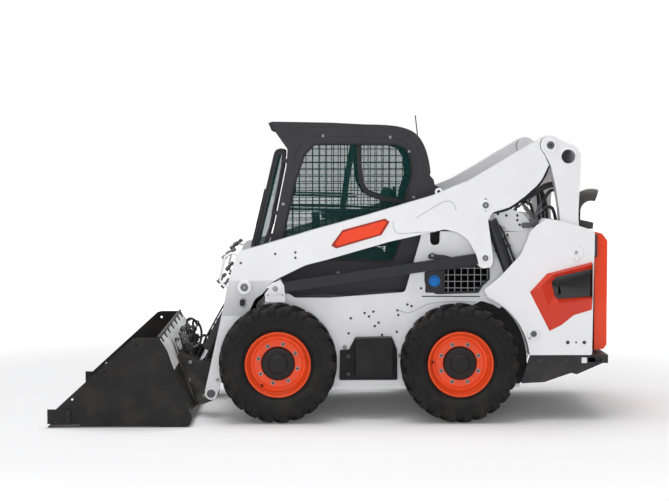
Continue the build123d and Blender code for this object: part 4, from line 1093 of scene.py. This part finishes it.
pipe(
    "door_hoops",
    [
        flat(
            (
                (520, 1150), (560, 1150), (545, 1215), (494, 1430), (446, 1640), (405, 1815), (390, 1880),
                (350, 1893), (325, 1880), (345, 1769), (395, 1500), (425, 1330),
            ),
            438,
        )
    ],
    8, "cab", "door", 8,
)
pane = rounded([(-372, -316, 30), (372, -316, 30), (372, 316, 30), (-372, 316, 30)], 6)
with piece("door_pane_seal", "seal", "door", both=False) as bm:
    rings = []
    for by, ahead in ((-12, 0), (-12, 4), (-8, 6), (4, 5), (6, 0), (6, -6)):
        rings.append([bm.verts.new(Vector(on_door(p.x, p.y, ahead)) * MM) for p in inset(pane, by)])
    skin(bm, rings, True)
with piece("wiper_boss", "plastic", "door", both=False) as bm:
    turned(
        bm, [(0, -8), (22, -8), (24, -4), (24, 10), (18, 16), (0, 16)], on_door(0, -338, 4),
        (cos(DOOR_LEAN), 0, sin(DOOR_LEAN)), 24,
    )
pipe(
    "wiper",
    [
        [on_door(0, -338, 18), on_door(60, -230, 16), on_door(95, -60, 14)],
        [on_door(95, -60, 15), on_door(80, -140, 12), on_door(95, -60, 15)],
    ],
    5, "plastic", "door", both=False,
)
wires(
    "wiper_blade",
    [(on_door(45, -190, 7), on_door(150, 120, 7)), (on_door(48, -188, 1.5), on_door(152, 118, 1.5))], 4,
    "seal", "door", 6,
)

# ---- seat: cushions swollen by a cloth simulation
def cushion(name, rows, half, grow, stands_for=()):
    """A stitched cushion: a soft-edged block blown up as cloth, no point further than grow mm."""
    bm = bmesh.new()
    prism(bm, rows, -half, half, 16, 4)
    bmesh.ops.recalc_face_normals(bm, faces=bm.faces[:])
    pad = loose(name + " block", as_mesh(name, bm))
    remesh = pad.modifiers.new("Remesh", "REMESH")
    remesh.mode = "VOXEL"
    remesh.voxel_size = 0.008
    start = baked(pad)
    pad = loose(name + " cloth", start)
    cloth = pad.modifiers.new("Cloth", "CLOTH").settings
    cloth.use_pressure = True
    cloth.uniform_pressure_force = 4.0
    cloth.effector_weights.gravity = 0.0
    for step in range(1, 21):
        bpy.context.scene.frame_set(step)
    mesh = baked(pad)
    before = [v.co.copy() for v in start.vertices]
    for point, old in zip(mesh.vertices, before):
        moved = point.co - old
        if moved.length > grow * MM:
            point.co = old + moved.normalized() * grow * MM
    bpy.context.scene.frame_set(1)
    made = settle(name, mesh, "vinyl", "root", 60.0, stands_for)
    smoother = made.modifiers.new("Smooth", "SUBSURF")
    smoother.levels = smoother.render_levels = 1
    return made


SEAT_BASE = [
    (-412, 1078, 30), (-418, 1150, 40), (-300, 1152, 60), (-40, 1158, 60), (40, 1150, 50), (46, 1100, 40),
    (20, 1074, 30),
]
SEAT_BACK = [
    (-402, 1180, 30), (-318, 1182, 30), (-338, 1300, 60), (-372, 1450, 80), (-398, 1625, 40),
    (-462, 1612, 40), (-424, 1400, 80),
]
cushion("seat_cushion", SEAT_BASE, 226, 9, ("seat",))
cushion("seat_back", SEAT_BACK, 222, 9)
with piece("seat_frame", "plastic", both=False) as bm:
    slab(bm, (-380, -176, 938), (0, 176, 1052), 12)
    slab(bm, (-425, -205, 1052), (30, 205, 1072), 8)
    prism(
        bm,
        [
            (-432, 1070, 10), (-412, 1070, 10), (-436, 1400, 60), (-474, 1618, 20), (-482, 1616, 20),
            (-450, 1400, 60),
        ],
        -200, 200, 6,
    )
for side in (1, -1):
    pipe(
        f"seat_seam_{side}",
        [[
            (-405, side * 150, 1161), (-250, side * 158, 1163), (-60, side * 158, 1169),
            (30, side * 150, 1158),
        ]],
        2, "seal", both=False,
    )

# ---- joysticks, arm consoles, switch panels
with piece("joystick_grips", "plastic", "root", 40.0, ("joysticks",)) as bm:
    turned(
        bm,
        [
            (46, 1240), (44, 1246), (30, 1252), (36, 1262), (26, 1270), (31, 1280), (21, 1290),
            (13, 1296), (12, 1340), (0, 1340),
        ],
        (105, 330, 0), (0, 0, 1), 24,
    )
    turned(
        bm,
        [(12, 1330), (20, 1342), (25, 1362), (22, 1384), (26, 1402), (27, 1412), (20, 1420), (0, 1421)],
        (105, 330, 0), (0, 0, 1), 24,
    )
    slab(bm, (98, 318, 1395), (138, 342, 1412), 4)
with piece("arm_rests", "vinyl") as bm:
    slab(bm, (-300, 272, 1232), (20, 390, 1262), 12, 3)
with piece("switch_panels", "black") as bm:
    slab(bm, (60, 268, 1236), (146, 300, 1246), 3)
    slab(bm, (150, 300, 1130), (158, 380, 1220), 3)
    slab(bm, (250, 396, 1560), (290, 424, 1700), 6)
with piece("display_faces", "gloss_black") as bm:
    slab(bm, (252, 390, 1580), (286, 397, 1680), 2)

# ---- lamps: bezels, tail lenses
with piece("lamp_bezels", "plastic") as bm:
    for y_low, y_high in ((272, 280), (420, 428)):
        prism(bm, [(400, 2027, 2), (424, 2084, 2), (442, 2078, 4), (418, 2021, 4)], y_low, y_high, 1.5)
    slab(bm, (-1852, 622, 1140), (-1838, 632, 1300), 3)
    slab(bm, (-1852, 728, 1140), (-1838, 738, 1300), 3)
    slab(bm, (-1852, 624, 1140), (-1838, 736, 1152), 3)
    slab(bm, (-1852, 624, 1288), (-1838, 736, 1300), 3)
    slab(bm, (-1852, 624, 1214), (-1838, 736, 1222), 3)
with piece("tail_lenses", "red") as bm:
    slab(bm, (-1850, 634, 1224), (-1844, 726, 1286), 5, 3)

# ---- tailgate and hood: louvre backs, latch, edge bead, grip, screen
with piece("louvre_backs", "black", "tailgate", both=False) as bm:
    for row in range(5):
        slab(bm, (-1934, -416, 962 + 48 * row), (-1930, 416, 982 + 48 * row), 1)
    slab(bm, (-1949, -70, 700), (-1945, 70, 790), 3)
with piece("tailgate_latch", "zinc", "tailgate", both=False) as bm:
    slab(bm, (-1956, -52, 724), (-1948, 52, 746), 4)
    turned(bm, [(0, 0), (14, 0), (14, 5), (9, 7), (0, 7)], (-1949, 0, 768), (-1, 0, 0), 24)
BEAD = [
    (0, 560), (420, 560), (520, 570), (540, 640), (540, 900), (540, 1150), (520, 1216), (420, 1224),
    (0, 1224),
]
pipe("tailgate_bead", [[(-1944, y, z) for y, z in BEAD]], 5, "orange", "tailgate")
with piece("hood_grip", "plastic", "hood", both=False) as bm:
    slab(bm, (-1660, -60, 1352), (-1620, 60, 1372), 6)
hood_lines = [
    ((x, y, 1351), (x + 30, y, 1351))
    for x in range(-1560, -999, 70)
    for y in range(-390, 391, 26)
]
# the hood screen's wires take the same grey: painted highlight
wires("hood_screen", hood_lines, 2, "wire", "hood", 5)

# ---- rear bumper: bare tags, and painted shade behind the tie-down slots
with piece("bumper_tags", "white") as bm:
    slab(bm, (-1786, 739, 400), (-1748, 743, 440), 1.5)
# a near-black plate behind the slots: painted shade inside the bumper
with piece("tie_down_backs", "painted_shade") as bm:
    slab(bm, (-1896, 700, 404), (-1790, 708, 440), 2)

# ---- control link lugs
with piece("lug_rings", "white") as bm:
    turned(bm, [(46, -2), (46, 3), (42, 6), (31, 6), (30, 2), (30, 0)], at(PIN_C, 732), OUT, 40)

# ---- link guides and knee couplings
with piece("link_guides", "link", "control_links") as bm:
    prism(
        bm,
        [
            (-676, 1130, 8), (-682, 1158, 14), (-706, 1170, 16), (-732, 1158, 20), (-800, 1152, 12),
            (-850, 1136, 8), (-840, 1112, 8),
        ],
        664, 696, 4,
    )


def coupling(bm, start, end, radius):
    """A pipe fitting between two points: nut, neck and collar."""
    along = Vector(end) - Vector(start)
    long = along.length
    sections = [
        (0, 0), (radius, 0), (radius, long * 0.28), (radius * 0.6, long * 0.3),
        (radius * 0.6, long * 0.5), (radius * 0.9, long * 0.52), (radius * 0.9, long * 0.9),
        (radius * 0.6, long), (0, long),
    ]
    turned(bm, sections, start, along, 12)


with piece("knee_couplings", "pin", "lift_arms") as bm:
    for (x, z), (dx, dz) in (
        ((715, 1166), (-30, 20)), ((743, 1138), (-30, 22)), ((778, 976), (-26, 30)),
        ((750, 941), (-26, 30)), ((701, 913), (-20, 34)),
    ):
        coupling(bm, (x, 626, z), (x + 1.6 * dx, 626, z + 1.6 * dz), 15)
        coupling(bm, (x, 626, z), (x - 0.6 * dx, 626, z - 0.6 * dz), 19)

# ---- bucket: lips, back sheet, creases, wear strips, ribs
BACK_LINE = [(1181, 611), (1157, 574), (1121, 517), (1102, 453), (1060, 345), (990, 163)]
pipe("bucket_back_lips", [[(x + 2, EDGE_OUT - 5, z) for x, z in BACK_LINE]], 8, "steel", "bucket")
pipe("bucket_top_lip", [[(1179, -1012, 611), (1179, 1012, 611)]], 11, "steel", "bucket", both=False)
# a thin near-white sheet over the back's upper part: painted reflection at the grazing angle
with piece("bucket_back_sheet", "painted_reflection", "bucket", both=False) as bm:
    sheet = [
        (1178, 611), (1154, 575), (1118, 517), (1099, 453), (1074, 388), (1077, 387), (1102, 452),
        (1121, 516), (1157, 573), (1181, 609),
    ]
    prism(bm, [(x, z, 0) for x, z in sheet], -1003, 1003, 0.4)
with piece("bucket_back_ribs", "steel", "bucket", both=False) as bm:
    for y in (-900, -620, -330, 0, 330, 620, 900):
        prism(bm, [(1196, 619, 4), (1170, 619, 4), (1146, 574, 6), (1157, 566, 4)], y - 12, y + 12, 2)
    for y in (-480, 480):
        prism(
            bm,
            [
                (1180, 600, 4), (1112, 517, 10), (1092, 453, 10), (1066, 385, 4), (1076, 383, 4),
                (1121, 516, 10),
            ],
            y - 7, y + 7, 2,
        )
pipe(
    "bucket_creases",
    [
        [(1189, EDGE_OUT, 524), (1420, EDGE_OUT, 340), (1664, EDGE_OUT, 146)],
        [(1350, EDGE_OUT, 592), (1200, EDGE_OUT, 598)],
    ],
    2.2, "steel", "bucket",
)
with piece("bucket_wear_strips", "edge", "bucket", both=False) as bm:
    prism(bm, [(1716, 3, 0), (1918, 3, 0), (1918, 23, 2), (1716, 23, 2)], EDGE_OUT, EDGE_OUT + 7, 1.5)
    prism(bm, [(1180, 1, 0), (1716, 1, 0), (1716, 9, 1), (1180, 9, 1)], EDGE_OUT, EDGE_OUT + 3, 1)
    mirrored(bm)
    slab(bm, (1540, -1004, 0.0), (1918, 1004, 0.8), 0.3)
with piece("bucket_floor_ribs", "steel", "bucket", both=False) as bm:
    for y in (-800, -300, 300, 800):
        slab(bm, (1000, y - 6, 2), (1500, y + 6, 14), 2)

# ---- coupler: wedge levers, blocks, couplings and their hoses
with piece("wedge_levers", "coupler", "bucket") as bm:
    for y in (250, 300):
        prism(bm, [(1032, 330, 4), (1078, 452, 4), (1052, 462, 6), (1004, 344, 6)], y - 5, y + 5, 2)
    prism(
        bm,
        [
            (1006, 372, 10), (1050, 384, 10), (1070, 470, 12), (1094, 562, 10), (1074, 568, 10),
            (1046, 478, 12), (1000, 392, 10),
        ],
        268, 282, 4,
    )
    slab(bm, (1072, 250, 552), (1098, 300, 574), 8)
    prism(bm, [(965, 95, 4), (1002, 40, 8), (984, 30, 8), (940, 92, 4)], 262, 290, 4)
    prism(bm, [(1000, 200, 6), (1040, 305, 6), (1010, 316, 6), (976, 214, 6)], 240, 312, 5)
    slab(bm, (986, 296, 440), (1046, 338, 500), 6)
    slab(bm, (1000, 306, 520), (1040, 334, 556), 5)
with piece("coupler_couplings", "pin", "bucket") as bm:
    for start, end, radius in (
        ((1048, 320, 500), (1070, 322, 560), 13), ((1022, 330, 500), (1030, 334, 566), 12),
        ((986, 322, 470), (952, 322, 486), 12), ((1040, 322, 545), (1082, 322, 582), 13),
        ((1000, 318, 556), (990, 318, 600), 11), ((1066, 326, 600), (1040, 322, 618), 11),
        ((1008, 312, 440), (996, 312, 392), 12), ((1086, 318, 520), (1110, 318, 536), 12),
    ):
        coupling(bm, start, end, radius)
pipe(
    "coupler_hoses",
    [
        [(1070, 322, 556), (1084, 318, 606), (1040, 312, 622), (1004, 318, 590), (1000, 322, 560)],
        [(952, 322, 486), (930, 318, 500), (938, 312, 430), (985, 306, 385), (1000, 300, 330)],
        [
            (1030, 334, 562), (1036, 330, 600), (996, 326, 596), (964, 322, 530), (968, 312, 440),
            (996, 306, 392),
        ],
        [(1110, 318, 534), (1124, 314, 500), (1100, 308, 452), (1062, 300, 420)],
    ],
    9, "hose", "bucket",
)

# ---- tilt cylinders: glands and tubes
tilt_way = (Vector(at(PIN_P, 0)) - Vector(at(PIN_T, 0))).normalized()
with piece("tilt_cylinder_glands", "black", "tilt_barrels") as bm:
    turned(
        bm, [(43, 482), (46, 482), (46.5, 486), (46.5, 514), (43, 518)], at(PIN_T, TILT_Y), tilt_way, 32,
    )
    for along in (150, 380):
        turned(
            bm, [(44.4, along), (47, along), (47, along + 18), (44.4, along + 18)], at(PIN_T, TILT_Y),
            tilt_way, 32,
        )
tubes = []
for y in (398, 412):
    tubes.append([
        (
            PIN_T[0] + tilt_way.x * along - tilt_way.z * off, y,
            PIN_T[1] + tilt_way.z * along + tilt_way.x * off,
        )
        for along, off in (
            (120, 44), (140, 56), (300, 56), (480 if y > 400 else 420, 56), (500 if y > 400 else 440, 46),
        )
    ])
pipe("tilt_cylinder_tubes", tubes, 6, "hose", "tilt_barrels")

# ---- engine bay and front wall
with piece("engine_bay_parts", "engine", both=False) as bm:
    slab(bm, (-1765, -470, 500), (-1715, 470, 1140), 6)
    slab(bm, (-1775, -500, 1140), (-1700, 500, 1170), 6)
    turned(
        bm, [(0, -150), (88, -150), (92, -140), (92, 140), (88, 150), (0, 150)], (-1210, 0, 1235), OUT, 40,
    )
    slab(bm, (-1500, 330, 500), (-1260, 520, 720), 10)
pipe(
    "engine_hoses",
    [
        [(-1715, 300, 1080), (-1640, 300, 1120), (-1600, 260, 1160), (-1500, 200, 1156)],
        [(-1715, -300, 560), (-1640, -320, 560), (-1580, -320, 600), (-1540, -290, 640)],
    ],
    26, "hose", "root", 10, both=False,
)
with piece("front_wall_plates", "hull", both=False) as bm:
    slab(bm, (551, -380, 330), (557, 380, 620), 3)
    slab(bm, (551, -300, 640), (575, 300, 668), 5)
bolts(
    "front_wall_bolts", [(557, y, z, (1, 0, 0)) for y in (60, 200, 340) for z in (350, 600)], "dark_bolt",
    "root", "hex", 1.0,
)

# ---- fasteners on the side faces
# name, (x, z) places, y, finish, body, kind, size
FACE_BOLTS = [
    ("arm_pin_bolts", [PIN_F, PIN_D, KNEE], ARM_FACE + 4, "zinc", "lift_arms", "hex", 1.0),
    (
        "arm_bolts", [(389, 1166), (628, 1103), (249, 1176), (249, 1139)], ARM_FACE, "dark_bolt",
        "lift_arms", "cap", 0.8,
    ),
    ("arm_leg_bolts", [(800, 268)], 585, "zinc", "lift_arms", "hex", 1.1),
    ("link_pin_bolts", [PIN_B], ARM_FACE + 11, "dark_bolt", "rear_links", "hex", 1.0),
    ("tower_bolts", [PIN_A, (PIN_E[0] + 26, PIN_E[1] - 27)], TOWER_FACE + 9, "zinc", "root", "hex", 0.9),
    # dark discs in the towers' holes: painted shade of their insides
    ("tower_holes", [(-1648, 547), (-1763, 547)], TOWER_FACE, "dark_bolt", "root", "cap", 1.2),
    ("tower_small_hole", [(-1706, 547)], TOWER_FACE, "dark_bolt", "root", "cap", 0.6),
    (
        "panel_bolts",
        [
            (-1174, 1438), (-1233, 1427), (-1310, 1427), (-1310, 1394), (-1327, 1361), (-1165, 1180),
            (-1240, 1290),
        ],
        600, "dark_bolt", "root", "dome", 0.8,
    ),
    ("chassis_bolts", HULL_BOLTS, HULL_FACE, "dark_bolt", "root", "dome", 0.75),
    ("chassis_big_bolts", [(-97, 500), (-490, 439)], HULL_FACE, "zinc", "root", "hex", 1.3),
    (
        "cab_bolts",
        [(55, 1986), (-421, 1977), (-554, 1875), (-589, 1551), (337, 1503), (-53, 1015), (-381, 1038)],
        CAB_FACE, "zinc", "root", "dome", 0.9,
    ),
    ("bumper_bolts", [(-1460, 420), (-1640, 420)], 740, "dark_bolt", "root", "hex", 1.4),
    ("lug_pin_bolts", [PIN_C], 740, "zinc", "root", "hex", 1.6),
    ("lug_foot_bolts", [(340, 880), (440, 880)], 732, "zinc", "root", "cap", 0.7),
    ("link_guide_bolts", [(-706, 1152)], 696, "zinc", "control_links", "dome", 0.8),
    (
        "cutter_bolts", [(1800, 100), (1800, 52), (1880, 100), (1880, 52)], EDGE_OUT + 14, "steel",
        "bucket", "dome", 1.2,
    ),
    ("bucket_side_bolts", [(1445, 382), (1344, 590)], EDGE_OUT, "steel", "bucket", "dome", 1.1),
    (
        "coupler_bolts", [(1000, 380), (978, 107), (900, 140), (1010, 250)], 467, "zinc", "bucket", "hex",
        1.1,
    ),
    (
        "step_bolts", [(-120, 445), (-120, 320), (-420, 445), (-420, 320)], 700, "dark_bolt", "root",
        "hex", 1.1,
    ),
]
for name, places, y, *rest in FACE_BOLTS:
    bolts(name, [(x, y, z, OUT) for x, z in places], *rest)

# ---- stage, light and camera
scene = bpy.context.scene
scene.view_settings.view_transform = "Standard"
FLOOR_GLOW = 0.05
AMBIENT, HORIZON_GLOSS, ZENITH_GLOSS = 0.32, 0.12, 1.2
bm = bmesh.new()
bmesh.ops.create_grid(bm, x_segments=1, y_segments=1, size=60.0)
floor = loose("floor", as_mesh("floor", bm))
floor_look = bpy.data.materials.new("Studio floor")
floor_look.use_nodes = True
tree = floor_look.node_tree
tree.nodes.remove(tree.nodes["Principled BSDF"])
path = add(tree, "ShaderNodeLightPath")
direct = maths(tree, "MAXIMUM", path.outputs["Is Camera Ray"], path.outputs["Is Transmission Ray"])
far = add(
    tree, "ShaderNodeVectorMath", {0: add(tree, "ShaderNodeTexCoord").outputs["Object"]},
    operation="LENGTH",
)
matt = add(tree, "ShaderNodeBsdfDiffuse", {"Color": (0.86, 0.86, 0.87, 1.0)})
glow = add(tree, "ShaderNodeEmission", {"Color": (1.0, 1.0, 1.0, 1.0)})
lift = maths(
    tree, "ADD", maths(tree, "MULTIPLY", ramp(tree, far.outputs["Value"], 2.6, 9.0), 0.9), FLOOR_GLOW,
)
tree.links.new(maths(tree, "MULTIPLY", direct, lift), glow.inputs["Strength"])
lit = add(tree, "ShaderNodeAddShader", {0: matt.outputs[0], 1: glow.outputs[0]})
tree.links.new(lit.outputs[0], tree.nodes["Material Output"].inputs[0])
floor.data.materials.append(floor_look)

world = bpy.data.worlds.new("Studio")
scene.world = world
world.use_nodes = True
tree = world.node_tree
path = add(tree, "ShaderNodeLightPath")
height = add(
    tree, "ShaderNodeSeparateXYZ", {0: add(tree, "ShaderNodeTexCoord").outputs["Generated"]},
).outputs[2]
mirrored_sky = add(
    tree, "ShaderNodeMapRange", {0: height, 1: -0.05, 2: 0.75, 3: HORIZON_GLOSS, 4: ZENITH_GLOSS},
).outputs[0]
seen = maths(tree, "MAXIMUM", path.outputs["Is Camera Ray"], path.outputs["Is Transmission Ray"])
strength = add(
    tree, "ShaderNodeMix", {0: path.outputs["Is Glossy Ray"], 2: AMBIENT, 3: mirrored_sky},
).outputs[0]
strength = add(tree, "ShaderNodeMix", {0: seen, 2: strength, 3: 1.0}).outputs[0]
tree.nodes["Background"].inputs[0].default_value = (1.0, 1.0, 1.0, 1.0)
tree.links.new(strength, tree.nodes["Background"].inputs[1])


def lamp(name, spot, target, size, power, mirrored_by=True):
    """A large soft light aimed at a point, which shiny faces mirror or don't."""
    data = bpy.data.lights.new(name, "AREA")
    data.shape = "DISK"
    data.size = size
    data.energy = power
    made = loose(name, data)
    made.location = spot
    made.visible_glossy = mirrored_by
    made.rotation_euler = (Vector(target) - Vector(spot)).to_track_quat("-Z", "Y").to_euler()


lamp("key", (2.5, 6.0, 8.0), (0, 0, 0.8), 6.0, 120)
lamp("top", (0.0, 0.0, 9.0), (0, 0, 0), 7.0, 500, False)
lamp("fill", (-3.0, -5.0, 7.0), (0, 0, 0.8), 6.0, 110)
lamp("front", (0.4, 11.0, 1.5), (0, 0, 0.6), 5.0, 500, False)

camera_data = bpy.data.cameras.new("camera")
camera_data.lens = 93.07
camera_data.sensor_width = 36.0
camera = loose("camera", camera_data)
camera.location = (0.1764, 12.726, 1.8736)
yaw, pitch = radians(0.951), radians(3.267)
look_way = Vector((-sin(yaw) * cos(pitch), -cos(yaw) * cos(pitch), -sin(pitch)))
camera.rotation_euler = look_way.to_track_quat("-Z", "Y").to_euler()
scene.camera = camera
